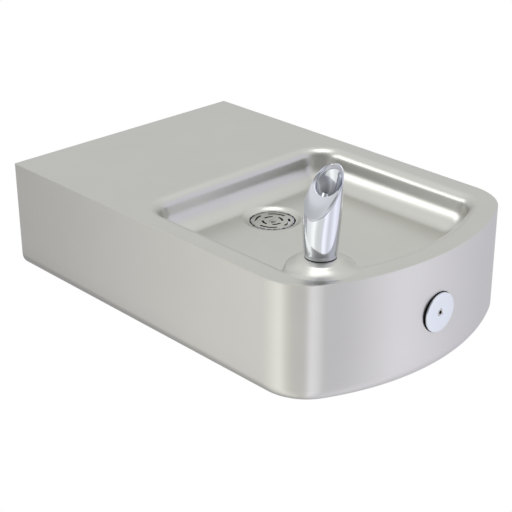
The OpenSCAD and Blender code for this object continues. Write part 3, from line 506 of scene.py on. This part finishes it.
def tube_faces(rings: int, count: int, closed: bool = False) -> list[Face]:
    """Faces between rings of points that follow each other.

    Args:
        rings: Number of rings.
        count: Points of each ring.
        closed: Whether the last ring joins the first.

    Returns:
        The four point numbers of each face.
    """
    return [
        [k * count + i, k * count + (i + 1) % count, after * count + (i + 1) % count, after * count + i]
        for k, after in [(k, (k + 1) % rings) for k in range(rings if closed else rings - 1)]
        for i in range(count)
    ]


def capped_faces(rings: int, count: int) -> list[Face]:
    """Faces between rings of points, with a face over each end."""
    ends = [list(range(count))[::-1], [(rings - 1) * count + i for i in range(count)]]
    return tube_faces(rings, count) + ends


def contour(level: Level, low: Sequence[float], high: Sequence[float], step: float) -> tuple[Array, Array]:
    """Mesh the zero surface of a function on a cubic grid, with each point moved onto the surface.

    Args:
        level: The function of x, y and z, negative inside the solid.
        low: Lowest corner of the grid.
        high: Highest corner of the grid.
        step: Width of a cell.

    Returns:
        The points and the four point numbers of each face, facing out of the solid.
    """
    axes = [np.arange(a, b + step, step) for a, b in zip(low, high)]
    grid = np.meshgrid(*axes, indexing="ij")
    value = level(*grid)
    solid = value < 0
    shape = tuple(n - 1 for n in solid.shape)
    total = np.zeros(shape + (3,))
    count = np.zeros(shape)
    corners = [(i, j, k) for i in (0, 1) for j in (0, 1) for k in (0, 1)]
    for first in corners:
        for axis in range(3):
            if first[axis]:
                continue
            second = tuple(c + (n == axis) for n, c in enumerate(first))
            cut_a = tuple(slice(c, c + n) for c, n in zip(first, shape))
            cut_b = tuple(slice(c, c + n) for c, n in zip(second, shape))
            change = solid[cut_a] != solid[cut_b]
            span = np.where(change, value[cut_a] - value[cut_b], 1.0)
            t = np.where(change, value[cut_a] / span, 0.0)
            count += change
            for n in range(3):
                total[..., n] += np.where(change, first[n] + (t if n == axis else 0.0), 0.0)
    used = count > 0
    number = np.full(shape, -1)
    number[used] = np.arange(int(used.sum()))
    cells = np.argwhere(used)
    points = (cells + total[used] / count[used][:, None]) * step + np.asarray(low)
    points = settle(level, points)
    faces = []
    for axis in range(3):
        b, c = (axis + 1) % 3, (axis + 2) % 3
        here = [slice(1, -1)] * 3
        here[axis] = slice(0, -1)
        there = list(here)
        there[axis] = slice(1, None)
        start, end = solid[tuple(here)], solid[tuple(there)]
        where = np.argwhere(start != end)
        offset = np.array([0 if n == axis else 1 for n in range(3)])
        cell = where + offset
        ring = []
        for db, dc in ((-1, -1), (0, -1), (0, 0), (-1, 0)):
            moved = cell.copy()
            moved[:, b] += db
            moved[:, c] += dc
            ring.append(number[moved[:, 0], moved[:, 1], moved[:, 2]])
        ring = np.stack(ring, axis=1)
        outward = start[tuple(where.T)]
        faces.append(np.where(outward[:, None], ring, ring[:, ::-1]))
    return points, np.concatenate(faces)


def slope(level: Level, points: Array) -> Array:
    """Return the gradient of a function at some points."""
    reach = 0.02
    columns = []
    for n in range(3):
        shift = np.zeros(3)
        shift[n] = reach
        columns.append((level(*(points + shift).T) - level(*(points - shift).T)) / (2 * reach))
    return np.stack(columns, axis=1)


def settle(level: Level, points: Array) -> Array:
    """Move points onto the zero surface of a function with a few Newton steps."""
    steps, least_slope, most = 4, 1e-6, 0.6
    for _ in range(steps):
        rise = slope(level, points)
        size = np.maximum((rise * rise).sum(axis=1), least_slope)
        move = np.clip(level(*points.T) / size, -most, most)
        points = points - rise * move[:, None]
    return points


def keep_faces(points: Array, faces: Array, wanted: Array) -> tuple[Array, Array]:
    """Drop the faces that aren't wanted and the points that only they used."""
    kept = faces[wanted]
    numbers, inverse = np.unique(kept, return_inverse=True)
    return points[numbers], inverse.reshape(kept.shape)


@dataclass
class Tray:
    """The deck with its pressed bowl and pad, of one sheet, with fine cells on top and coarse ones below."""

    bowl: Bowl
    fine: float
    coarse: float
    # Inset at which the pressed mesh begins, and the width of the flat strip that it lies over
    PRESSED_INSET = 5.0
    STRIP = 9.0
    # How far the flat sheet at the rear keeps from the bowl's rim line
    BEHIND = 8.0
    # Radii left open round the drain and under the bubbler
    DRAIN_R = 22.5
    SHANK_R = 11.0
    # The broken upper corner of the sheet's cut edge
    CORNER = 0.25

    def pressed(self, step: float, drop: float) -> tuple[Array, Array]:
        """Mesh the pressed part of the sheet.

        Args:
            step: Width of a cell.
            drop: Distance under the top of the sheet.

        Returns:
            Points and faces inside the deck's margin, open at the drain and under the bubbler.
        """
        bowl, plan = self.bowl, self.bowl.plan
        low = (-plan.width / 2 + 4, -plan.depth + 2, plan.top - bowl.depth - bowl.fall - 4)
        high = (plan.width / 2 - 4, bowl.rear + 12, plan.top + bowl.pad_h + 2)
        points, faces = contour(lambda x, y, z: bowl.level(x, y, z) + drop, low, high, step)
        middle = points[faces].mean(axis=1)
        wanted = plan.inset(middle[:, 0], middle[:, 1]) > self.PRESSED_INSET
        wanted &= np.hypot(middle[:, 0], middle[:, 1] - bowl.drain_y) > self.DRAIN_R
        wanted &= np.hypot(middle[:, 0] - bowl.pad_x, middle[:, 1] - bowl.pad_y) > self.SHANK_R
        return keep_faces(points, faces, wanted)

    def margin(self, z: float, upwards: bool) -> Part:
        """Flat deck: a strip along the sides and the front, and the sheet behind the bowl.

        Args:
            z: Height of the strip.
            upwards: Whether it faces up.

        Returns:
            Points and faces.
        """
        plan, rear, inner = self.bowl.plan, self.bowl.rear + self.BEHIND, self.STRIP
        path = plan.path(1, 16, front_columns(plan))
        outer = [(x - nx * self.CORNER, y - ny * self.CORNER, z) for x, y, nx, ny in path]
        inside = [(x - nx * inner, min(y, rear) - ny * inner, z) for x, y, nx, ny in path]
        outer[0] = (outer[0][0], rear, z)
        outer[-1] = (outer[-1][0], rear, z)
        count = len(path)
        points = outer + inside
        faces = [[i, i + 1, count + i + 1, count + i] for i in range(count - 1)]
        back = len(points)
        half = plan.width / 2 - self.CORNER
        points += [(-half, rear, z), (half, rear, z), (half, 0, z), (-half, 0, z)]
        faces.append([back, back + 1, back + 2, back + 3])
        if not upwards:
            faces = [face[::-1] for face in faces]
        return np.array(points), faces

    def edge(self) -> Part:
        """The sheet's cut edge round the sides, the front and the rear, with its upper corner broken."""
        plan, round_by = self.bowl.plan, 0.07
        path = plan.path(1, 16, front_columns(plan))
        rows = [(self.CORNER, plan.top), (round_by, plan.top - round_by), (0.0, plan.top - self.CORNER),
                (0.0, plan.top - plan.sheet)]
        points = [(x - nx * inset, y - ny * inset, z) for inset, z in rows for x, y, nx, ny in path]
        count = len(path)
        faces = [
            [k * count + i, (k + 1) * count + i, (k + 1) * count + i + 1, k * count + i + 1]
            for k in range(len(rows) - 1)
            for i in range(count - 1)
        ]
        start = len(points)
        half = plan.width / 2
        low = plan.top - plan.sheet
        points += [(-half, 0, low), (half, 0, low), (half, 0, plan.top), (-half, 0, plan.top)]
        faces.append([start + 1, start, start + 3, start + 2])
        return np.array(points), faces

    def build(self) -> Object:
        """Make the tray's mesh with its finish, in place of the solid one."""
        plan = self.bowl.plan
        parts = [self.pressed(self.fine, 0.0)]
        under, under_faces = self.pressed(self.coarse, plan.sheet)
        parts.append((under, under_faces[:, ::-1]))
        # The strip lies a hair under the pressed mesh, so that only one of them shows where they overlap
        parts.append(self.margin(plan.top - 0.01, True))
        parts.append(self.margin(plan.top - plan.sheet, False))
        parts.append(self.edge())
        tray = joined("pressed_tray", parts)
        finish(tray, DECK_STEEL.material(), "deck_steel", "fountain", "basin_tray")
        return tray


def front_columns(plan: BodyPlan) -> list[float]:
    """Places along X of the front's points: close together round the button and wider beside it."""
    columns, beside = round(BUTTON_PATCH / FRONT_STEP), 16
    near = [FRONT_STEP * i for i in range(-columns, columns + 1)]
    reach = plan.side_x * plan.front_r / (plan.front_r - plan.corner_r)
    far = [BUTTON_PATCH + (reach - BUTTON_PATCH) * i / beside for i in range(1, beside)]
    return [-x for x in far[::-1]] + near + far


def joined(name: str, parts: Sequence[tuple[Array, object]], sharp_deg: float = 35.0) -> Object:
    """Make one mesh object from several sets of points and faces."""
    points: list[Array] = []
    faces: list[Face] = []
    start = 0
    for some_points, some_faces in parts:
        points.append(np.asarray(some_points, dtype=float))
        faces.extend([[int(i) + start for i in face] for face in some_faces])
        start += len(some_points)
    return mesh_object(name, np.concatenate(points), faces, sharp_deg)


def finish(piece: Object, material: Material, slot: str, body: str, *nodes: str) -> None:
    """Give a piece its material and its body, in place of solid nodes."""
    piece.data.materials.append(material)
    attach(piece, body)
    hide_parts(*nodes)
    LOG.info("%s: %d faces in place of %s", piece.name, len(piece.data.polygons), ", ".join(nodes))


@dataclass
class Shell:
    """The folded body under the tray: sides, front, bottom flange and the flanges at the wall."""

    plan: BodyPlan = BodyPlan()
    bend_r: float = 16.0
    flange: float = 36.0
    back_flange: float = 22.0
    button_z: float = 2.0
    hole_r: float = 20.6
    patch: float = BUTTON_PATCH

    def bend(self, r: float, steps: int) -> list[Point]:
        """Points of the bottom bend at a radius, as insets and heights, from the underside up to the side."""
        middle = self.plan.bottom + self.bend_r
        turns = [math.radians(-90 + 90 * i / steps) for i in range(steps + 1)]
        return [(self.bend_r - r * math.cos(a), middle + r * math.sin(a)) for a in turns]

    def section(self) -> list[Point]:
        """Closed section of the folded sheet, as insets and heights, from the flange's lower edge."""
        plan, bend_steps = self.plan, 12
        top, sheet = plan.top - plan.sheet, plan.sheet
        low, high = self.button_z - self.patch, self.button_z + self.patch
        rows = [(self.flange, plan.bottom)] + self.bend(self.bend_r, bend_steps)
        rows += [(0.0, low), (0.0, high), (0.0, top), (sheet, top), (sheet, high), (sheet, low)]
        rows += self.bend(self.bend_r - sheet, bend_steps)[::-1]
        return rows + [(self.flange, plan.bottom + sheet)]

    def build(self) -> Object:
        """Make the shell's mesh with its finish, in place of the solid one."""
        plan = self.plan
        path = plan.path(3, 20, front_columns(plan))
        rows = self.section()
        points = [(x - nx * inset, y - ny * inset, z) for inset, z in rows for x, y, nx, ny in path]
        count = len(path)
        near_button = [abs(x) <= self.patch and y < plan.corner_y for x, y, _, _ in path]
        faces = []
        for k, (_, z) in enumerate(rows):
            after = (k + 1) % len(rows)
            is_patch = {z, rows[after][1]} == {self.button_z - self.patch, self.button_z + self.patch}
            for i in range(count - 1):
                if is_patch and near_button[i] and near_button[i + 1]:
                    continue
                faces.append([k * count + i, k * count + i + 1, after * count + i + 1, after * count + i])
        for end, order in ((0, 1), (count - 1, -1)):
            faces.append([k * count + end for k in range(len(rows))][::order])
        parts = [(np.array(points), faces)]
        parts.append(self.button_hole())
        parts += self.rear_flanges()
        shell = joined("folded_body", parts, 40.0)
        finish(shell, SHELL_STEEL.material(), "shell_steel", "fountain", "body_shell")
        return shell

    def button_hole(self) -> Part:
        """The square of the front round the button's hole, with the wall of the hole."""
        sides = round(2 * self.patch / FRONT_STEP)
        square = []
        for side in range(4):
            for i in range(sides):
                t = -1 + 2 * i / sides
                square.append(((t, -1.0), (1.0, t), (-t, 1.0), (-1.0, -t))[side])
        rings = []
        # From the square, at 1, to the hole, at 0
        shares = (1.0, 0.7, 0.4, 0.16, 0.0)
        for inset, order in ((0.0, shares), (self.plan.sheet, shares[::-1])):
            for share in order:
                ring = []
                for u, v in square:
                    a = math.atan2(v, u)
                    x = self.patch * u * share + self.hole_r * math.cos(a) * (1 - share)
                    z = self.patch * v * share + self.hole_r * math.sin(a) * (1 - share)
                    ring.append((x, self.plan.front_y(x, inset), self.button_z + z))
                rings.append(ring)
        return np.concatenate(rings), tube_faces(len(rings), len(square))

    def rear_flanges(self) -> list[Part]:
        """The bottom flange along the wall and the two flanges turned in at the wall."""
        plan = self.plan
        half = plan.width / 2
        low, sheet = plan.bottom, plan.sheet
        left, right = self.flange - half, half - self.flange
        ring = ((left, low), (left, low + sheet), (right, low + sheet), (right, low))
        points = [(x, y, z) for y in (-self.flange, 0.0) for x, z in ring]
        parts = [(np.array(points), capped_faces(2, len(ring)))]
        outline = [(self.back_flange, plan.top - sheet), (self.back_flange, low + sheet)]
        outline += self.bend(self.bend_r - sheet, 8) + [(sheet, plan.top - sheet)]
        for side in (-1, 1):
            points = [(side * (half - inset), y, z) for y in (-sheet, 0.0) for inset, z in outline]
            parts.append((np.array(points), [face[::-side] for face in capped_faces(2, len(outline))]))
        return parts


@dataclass
class Tower:
    """The bubbler: a leaning barrel, cut aslant, with an open mouth under a raised lip."""

    x: float = -96.0
    y: float = -404.5
    z: float = 70.8
    height: float = 61.2
    base_r: float = 15.2
    wide_r: float = 17.6
    lean: float = 2.3
    slope_deg: float = 51.0
    mouth_along: float = 15.6
    mouth_across: float = 14.4
    lip: float = 1.6
    sides: int = 112

    # Rings up the barrel: shares of the height, the swell, the lean and the slope
    BARREL = (
        (0.01, 0.0, 0, 0), (0.09, 0.24, 0, 0), (0.2, 0.48, 0.04, 0.06), (0.33, 0.7, 0.14, 0.17),
        (0.46, 0.86, 0.3, 0.33), (0.6, 0.96, 0.5, 0.53), (0.74, 1, 0.7, 0.73), (0.87, 0.98, 0.87, 0.89),
        (0.965, 0.95, 1, 0.985),
    )
    # Rings round the lip's outer and inner edge: growth of the radius and rise off the cut
    OUTER_EDGE = ((0.0, -0.5), (-0.1, -0.1), (-0.35, 0.2), (-0.75, 0.32))
    INNER_EDGE = ((0.5, 0.5), (0.1, 0.1), (-0.25, -0.5), (-0.4, -1.2))
    # Rings down the mouth: shares of its size, its depth, the way back to the middle and the slope
    HOLLOW = (
        (0.94, 0.14, 0.08, 0.95), (0.85, 0.34, 0.2, 0.78), (0.7, 0.6, 0.38, 0.52), (0.5, 0.8, 0.55, 0.28),
        (0.28, 0.9, 0.66, 0.1), (0.1, 0.93, 0.7, 0),
    )

    def keys(self) -> list[tuple[float, ...]]:
        """Rings up the outside and down the mouth: x, z, half sizes along and across, tilt and depth."""
        rad = math.radians
        slant, foot_r = self.slope_deg, self.base_r
        full = self.wide_r / math.cos(rad(slant))
        shift = full - self.lip - self.mouth_along
        mouth_x = self.lean + shift * math.cos(rad(slant))
        mouth_z = self.height + shift * math.sin(rad(slant))
        depth = self.height * 0.31
        dome = self.wide_r * 0.08
        up_x, up_z = -math.sin(rad(slant)), math.cos(rad(slant))
        rings = [(0.0, 0.0, foot_r - 0.7, foot_r - 0.7, 0.0), (0.0, 0.15, foot_r - 0.2, foot_r - 0.2, 0.0)]
        for up, swell, over, tip in self.BARREL:
            r = foot_r + (self.wide_r - foot_r) * swell
            rings.append((self.lean * over, self.height * up, r / math.cos(rad(slant * tip)), r, slant * tip))
        edge_r = self.wide_r * 0.985
        for grow, rise in self.OUTER_EDGE:
            x, z = self.lean + up_x * rise, self.height + up_z * rise
            rings.append((x, z, full + grow, edge_r + grow, slant))
        middle_x, middle_z = (self.lean + mouth_x) / 2, (self.height + mouth_z) / 2
        rings.append((middle_x + up_x * dome, middle_z + up_z * dome, (full + self.mouth_along) / 2 - 0.2,
                      (edge_r + self.mouth_across) / 2 + 0.2, slant))
        for grow, rise in self.INNER_EDGE:
            x, z = mouth_x + up_x * rise, mouth_z + up_z * rise
            rings.append((x, z, self.mouth_along + grow, self.mouth_across + grow, slant))
        rings = [ring + (0.0,) for ring in rings]
        for size, down, back, tip in self.HOLLOW:
            rings.append((mouth_x - (mouth_x - self.lean) * back, mouth_z - depth * down,
                          self.mouth_along * size, self.mouth_across * size, slant * tip, down))
        return rings

    def build(self) -> Object:
        """Make the bubbler's mesh with its finish, in place of the solid one."""
        rings = smoothed(np.array(self.keys()), 4)
        a = np.linspace(0, 2 * math.pi, self.sides, endpoint=False)
        points = []
        for x, z, along, across, tilt, _ in rings:
            t = math.radians(tilt)
            points.append(np.stack([self.x + x + along * np.cos(a) * math.cos(t), self.y + across * np.sin(a),
                                    self.z + z + along * np.cos(a) * math.sin(t)], axis=1))
        faces = capped_faces(len(rings), self.sides)
        tower = mesh_object("bubbler_tower", np.concatenate(points), faces, 60.0)
        # Depth down the mouth, which sets the painted shade of the bubbler's chrome
        depth = tower.data.attributes.new("depth", "FLOAT", "POINT")
        depth.data.foreach_set("value", np.repeat(rings[:, 5], self.sides).astype(np.float32))
        finish(tower, BUBBLER_CHROME.material(), "chrome", "fountain", "bubbler")
        return tower


def smoothed(keys: Array, steps: int) -> Array:
    """Rows between rows of numbers, on a curve through all of them.

    Args:
        keys: The rows that the curve passes.
        steps: New rows for each stretch.

    Returns:
        The rows of the curve, the first and the last as given.
    """
    reach = np.sqrt((np.diff(keys[:, :4], axis=0) ** 2).sum(axis=1)) + 1e-6
    place = np.concatenate([[0], np.cumsum(np.sqrt(reach))])
    rows = []
    for i in range(len(keys) - 1):
        before, after = max(i - 1, 0), min(i + 2, len(keys) - 1)
        span = place[i + 1] - place[i]
        m0 = (keys[i + 1] - keys[before]) / (place[i + 1] - place[before]) * span
        m1 = (keys[after] - keys[i]) / (place[after] - place[i]) * span
        for j in range(steps):
            t = j / steps
            rows.append((2 * t**3 - 3 * t**2 + 1) * keys[i] + (t**3 - 2 * t**2 + t) * m0
                        + (3 * t**2 - 2 * t**3) * keys[i + 1] + (t**3 - t**2) * m1)
    rows.append(keys[-1])
    return np.array(rows)


@dataclass
class Button:
    """The cap of the push button, a pressed disc with a rounded edge."""

    z: float = 2.0
    back_y: float = -468.2
    radius: float = 20.0
    thickness: float = 1.4
    bore: float = 3.5
    edge_r: float = 0.7
    sides: int = 144

    def build(self) -> Object:
        """Make the cap's mesh with its finish, in place of the solid one."""
        t, r = self.thickness, self.edge_r
        rows: list[Point] = [(self.bore, 0.0), (self.radius, 0.0)]
        for i in range(7):
            a = math.radians(90 * i / 6)
            rows.append((self.radius - r + r * math.cos(a), t - r + r * math.sin(a)))
        rows += [(self.radius * 0.6, t), (self.bore + 0.5, t), (self.bore, t - 0.4)]
        turns = np.linspace(0, 2 * math.pi, self.sides, endpoint=False)
        points = [
            (out * math.cos(a), self.back_y - up, self.z + out * math.sin(a)) for out, up in rows for a in turns
        ]
        cap = mesh_object("button_cap", np.array(points), tube_faces(len(rows), self.sides, True))
        finish(cap, CAP_STEEL.material(), "cap_steel", "button", "push_button")
        return cap


@dataclass
class ReturnSpring:
    """The button's return spring: an open coil of round wire with straight ends."""

    z: float = 2.0
    front_y: float = -463.6
    rear_y: float = -451.8
    seat_y: float = -451.7
    travel: float = 4.5
    coil_r: float = 8.0
    wire_r: float = 0.5
    turns: int = 4
    bend: float = 0.7
    bend_turn: float = 12.0
    steps: int = 144
    sides: int = 12

    def stations(self) -> list[Triple]:
        """Turn about the button's axis, place along Y and tilt of the wire, from end to end."""
        foot = 2 * self.wire_r
        low, high = self.front_y + foot + self.bend, self.rear_y - foot - self.bend
        turned = 360.0 * self.turns
        rows = [(0.0, self.front_y, 90.0), (0.0, self.front_y + foot, 90.0)]
        rows.append((self.bend_turn / 2, low - self.bend / 3, 45.0))
        for i in range(self.steps + 1):
            share = i / self.steps
            turn = self.bend_turn + (turned - 2 * self.bend_turn) * share
            rows.append((turn, low + (high - low) * share, 0.0))
        rows.append((turned - self.bend_turn / 2, high + self.bend / 3, 45.0))
        return rows + [(turned, self.rear_y - foot, 90.0), (turned, self.rear_y, 90.0)]

    def build(self) -> Object:
        """Make the spring's mesh with its finish, in place of the solid one."""
        b = np.linspace(0, 2 * math.pi, self.sides, endpoint=False)[:, None]
        rings = []
        for turn, y, tilt in self.stations():
            a, t = math.radians(turn), math.radians(tilt)
            outward = np.array((math.cos(a), 0.0, math.sin(a)))
            way = (-math.sin(a) * math.cos(t), math.sin(t), math.cos(a) * math.cos(t))
            middle = outward * self.coil_r + (0.0, y, self.z)
            rings.append(middle + self.wire_r * (np.cos(b) * outward + np.sin(b) * np.cross(way, outward)))
        faces = capped_faces(len(rings), self.sides)
        spring = mesh_object("coiled_return_spring", np.concatenate(rings), faces, 50.0)
        finish(spring, ZINC.material(), "zinc_steel", "fountain", "return_spring")
        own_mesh(spring)
        return spring


class SolidPieces:
    """The nodes of the solid model that show as they are, each with its finish."""

    FINISHES = {
        "shell_steel": SHELL_STEEL,
        "fitting_steel": FITTING_STEEL,
        "chrome": CHROME,
        "cap_steel": CAP_STEEL,
        "brass": BRASS,
        "zinc_steel": ZINC,
        "rubber": RUBBER,
        "black_plastic": BLACK_PLASTIC,
        "tube_plastic": TUBE_PLASTIC,
        "deck_steel": DECK_STEEL,
    }
    # The flat cover, brushed one way, and the slotted plate and the socket screw, with painted shade in their
    # cuts
    OWN_FINISHES = {
        "bottom_cover": COVER_STEEL,
        "drain_strainer": STRAINER_STEEL,
        "button_screw": SOCKET_STEEL,
    }

    def dress(self, frame: dict[str, object]) -> None:
        """Give every node the finish of its slot in the record."""
        made = {slot: finish_kind.material() for slot, finish_kind in self.FINISHES.items()}
        slots = {part["node"]: part["material_slot"] for part in frame["record"]["subparts"]}
        by_node = {name: finish_kind.material() for name, finish_kind in self.OWN_FINISHES.items()}
        for name, node in frame["nodes"].items():
            material = by_node.get(name, made[slots[name]])
            node.data.materials.clear()
            node.data.materials.append(material)
        LOG.info("%d solid nodes dressed", len(frame["nodes"]))


def shade_ramp(node: Node, stops: Sequence[Triple]) -> None:
    """Give a colour ramp its stops, each a place, a grey and the grey's blue cast."""
    elements = node.color_ramp.elements
    while len(elements) < len(stops):
        elements.new(1.0)
    for element, (at, grey, blue) in zip(elements, stops):
        element.position = at
        element.color = (grey, grey * (1 - abs(blue) * 0.1), grey * (1 + blue), 1)


@dataclass(frozen=True)
class Lobe:
    """A round part of the room that is unlike the rest."""

    towards: Triple
    edge: float
    core: float
    inside: float
    outside: float = 1.0

    def strength(self, tree: Tree, direction: Socket) -> Socket:
        """Return a value by direction, that fades from the lobe's edge to its core."""
        towards = {"operation": "DOT_PRODUCT", ("in", 1): self.towards}
        near = add_node(tree, "VectorMath", towards, {0: direction}).outputs["Value"]
        return ranged(tree, near, (self.edge, self.core), (self.outside, self.inside), "SMOOTHSTEP")


@dataclass(frozen=True)
class Studio:
    """Camera, floor, lamps and surroundings."""

    eye: Triple = (-879.7, -1149.1, 577.6)
    right: Triple = (0.72603, -0.68766, -0.00296)
    up: Triple = (0.29461, 0.30716, 0.90491)
    ahead: Triple = (0.62136, 0.65786, -0.42560)
    focal_px: float = 1320.65
    picture_px: float = 512.0
    floor_z: float = -900.0
    floor_half: float = 20000.0
    # Moves the middle of the floor's panels under the fountain's bowl, in metres
    panels_shift: Triple = (0.1, 0.39, 0.0)
    # Brightness and blue cast of the floor as metal mirrors it, round the turn: white paper and grey boards
    panels: tuple[Triple, ...] = (
        (0.0, 1.2, -0.06), (0.02, 1.0, -0.06), (0.05, 0.88, -0.05), (0.12, 0.86, -0.02), (0.15, 1.3, 0.05),
        (0.19, 1.15, 0.03), (0.225, 0.85, 0.05), (0.26, 0.88, 0.05), (0.33, 1.18, 0.07), (0.44, 0.9, 0.07),
        (0.51, 0.75, 0.07), (0.6, 0.65, 0.05), (0.75, 0.42, 0.0), (0.83, 0.46, 0.0), (0.845, 0.85, -0.03),
        (0.865, 1.0, -0.04), (0.91, 1.05, -0.05), (0.95, 1.25, -0.06), (0.985, 1.35, -0.06),
        (1.0, 1.2, -0.06),
    )
    # Brightness and blue cast of the room by height, from straight down to straight up
    heights: tuple[Triple, ...] = (
        (0.0, 0.85, 0.0), (0.48, 0.68, 0.04), (0.55, 0.64, 0.03), (0.62, 0.7, 0.0), (0.71, 0.8, -0.01),
        (0.85, 0.9, 0.0), (1.0, 0.95, 0.0),
    )
    behind_camera: Lobe = Lobe((-0.62, -0.66, 0.42), 0.55, 0.95, 0.45)
    left_rear: Lobe = Lobe((-0.72, 0.69, 0.0), 0.7, 0.98, 0.75)
    # A cool window at the right front
    window: Lobe = Lobe((0.62, -0.75, 0.25), 0.78, 0.95, 1.0, 0.0)
    window_colour: str = "#f2f1ff"

    def camera(self) -> None:
        """Place the camera that the photograph was taken from."""
        data = bpy.data.cameras.new("camera")
        data.sensor_width = 36.0
        data.lens = self.focal_px / self.picture_px * data.sensor_width
        data.clip_start = 0.05
        data.clip_end = 60
        camera = bpy.data.objects.new("camera", data)
        bpy.context.scene.collection.objects.link(camera)
        right, up, back = Vector(self.right), Vector(self.up), -Vector(self.ahead)
        turn = Matrix((right, up, back)).transposed().to_4x4()
        camera.matrix_world = Matrix.Translation(Vector(self.eye) * MM) @ turn
        bpy.context.scene.camera = camera

    def floor(self) -> None:
        """Lay the pale floor far under the fountain, white to the camera and in panels to a mirror."""
        half, z = self.floor_half, self.floor_z
        points = np.array([(-half, -half, z), (half, -half, z), (half, half, z), (-half, half, z)])
        floor = mesh_object("floor", points, [[0, 1, 2, 3]])
        material, tree, shader = blank_material("pale_floor", 0.0)
        shader.inputs["Base Color"].default_value = linear("#f2f2f2")
        shader.inputs["Roughness"].default_value = 0.8
        white = add_node(tree, "Emission", {("in", "Color"): WHITE}, {})
        place = add_node(tree, "TexCoord", {}, {}).outputs["Object"]
        shift = {("in", "Location"): self.panels_shift}
        centred = add_node(tree, "Mapping", shift, {"Vector": place}).outputs["Vector"]
        around = add_node(tree, "TexGradient", {"gradient_type": "RADIAL"}, {"Vector": centred})
        panels = add_node(tree, "ValToRGB", {}, {"Fac": around.outputs["Fac"]})
        shade_ramp(panels, self.panels)
        paper = add_node(tree, "Emission", {}, {"Color": panels.outputs["Color"]})
        path = add_node(tree, "LightPath", {}, {})
        mirrored = choose(tree, path.outputs["Is Glossy Ray"], shader.outputs[0], paper.outputs[0])
        seen = choose(tree, path.outputs["Is Camera Ray"], mirrored, white.outputs[0])
        tree.links.new(seen, tree.nodes["Material Output"].inputs["Surface"])
        floor.data.materials.append(material)

    def lamp(
        self, name: str, place: Sequence[float], aim: Sequence[float], size: Sequence[float], watts: float
    ) -> Object:
        """Hang one soft rectangular lamp.

        Args:
            name: The lamp's name.
            place: Where it hangs, in metres.
            aim: The point that it faces.
            size: Its width and height.
            watts: Its power.

        Returns:
            The lamp.
        """
        data = bpy.data.lights.new(name, "AREA")
        data.shape = "RECTANGLE"
        data.size, data.size_y = size
        data.energy = watts
        lamp = bpy.data.objects.new(name, data)
        bpy.context.scene.collection.objects.link(lamp)
        lamp.location = place
        lamp.rotation_euler = (Vector(aim) - Vector(place)).to_track_quat("-Z", "Y").to_euler()
        return lamp

    def flag_off(self, lamp: Object, shaded: Sequence[Object]) -> None:
        """Keep a lamp off some mirror-bright pieces, as a black flag on a stand does."""
        flag = bpy.data.collections.new("flag_" + lamp.name)
        for piece in shaded:
            flag.objects.link(piece)
        lamp.light_linking.receiver_collection = flag
        for member in flag.collection_objects:
            member.light_linking.link_state = "EXCLUDE"

    def surroundings(self) -> None:
        """Light the room: white to the camera, else dim behind it and cool at the window."""
        world = bpy.data.worlds.new("studio")
        bpy.context.scene.world = world
        world.use_nodes = True
        tree = world.node_tree
        tree.nodes.clear()
        place = add_node(tree, "TexCoord", {}, {}).outputs["Generated"]
        split = add_node(tree, "SeparateXYZ", {}, {0: place})
        heights = ranged(tree, split.outputs["Z"], (-1.0, 1.0), (0.0, 1.0))
        ramp = add_node(tree, "ValToRGB", {}, {"Fac": heights})
        shade_ramp(ramp, self.heights)
        near, left = self.behind_camera.strength(tree, place), self.left_rear.strength(tree, place)
        dim = add_node(tree, "Math", {"operation": "MULTIPLY"}, {0: near, 1: left}).outputs["Value"]
        window = self.window.strength(tree, place)
        tint = mixed(tree, window, ramp.outputs["Color"], linear(self.window_colour))
        room = add_node(tree, "Background", {}, {"Color": tint, "Strength": dim})
        white = add_node(tree, "Background", {("in", "Color"): WHITE}, {})
        path = add_node(tree, "LightPath", {}, {})
        seen = choose(tree, path.outputs["Is Camera Ray"], room.outputs[0], white.outputs[0])
        add_node(tree, "OutputWorld", {}, {"Surface": seen})

    def build(self, mirrors: Sequence[Object]) -> None:
        """Set up the whole studio, with the bright lamp kept off the mirrors."""
        self.camera()
        self.floor()
        self.surroundings()
        aim = (0.0, -0.25, 0.0)
        self.lamp("overhead", (-0.1, -0.3, 1.9), aim, (1.2, 1.2), 6)
        self.flag_off(self.lamp("left_rear", (-1.5, 1.2, 1.15), aim, (2.2, 1.0), 10.5), mirrors)
        bpy.context.scene.view_settings.view_transform = "Standard"


def main() -> None:
    """Build the fountain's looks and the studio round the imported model."""
    logging.basicConfig(level=logging.INFO, format="%(message)s")
    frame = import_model()
    SolidPieces().dress(frame)
    bowl = Bowl()
    Tray(bowl, 1.25, 2.5).build()
    Shell().build()
    tower = Tower().build()
    Button().build()
    ReturnSpring().build()
    Studio().build([tower])


if __name__ == "__main__":
    main()
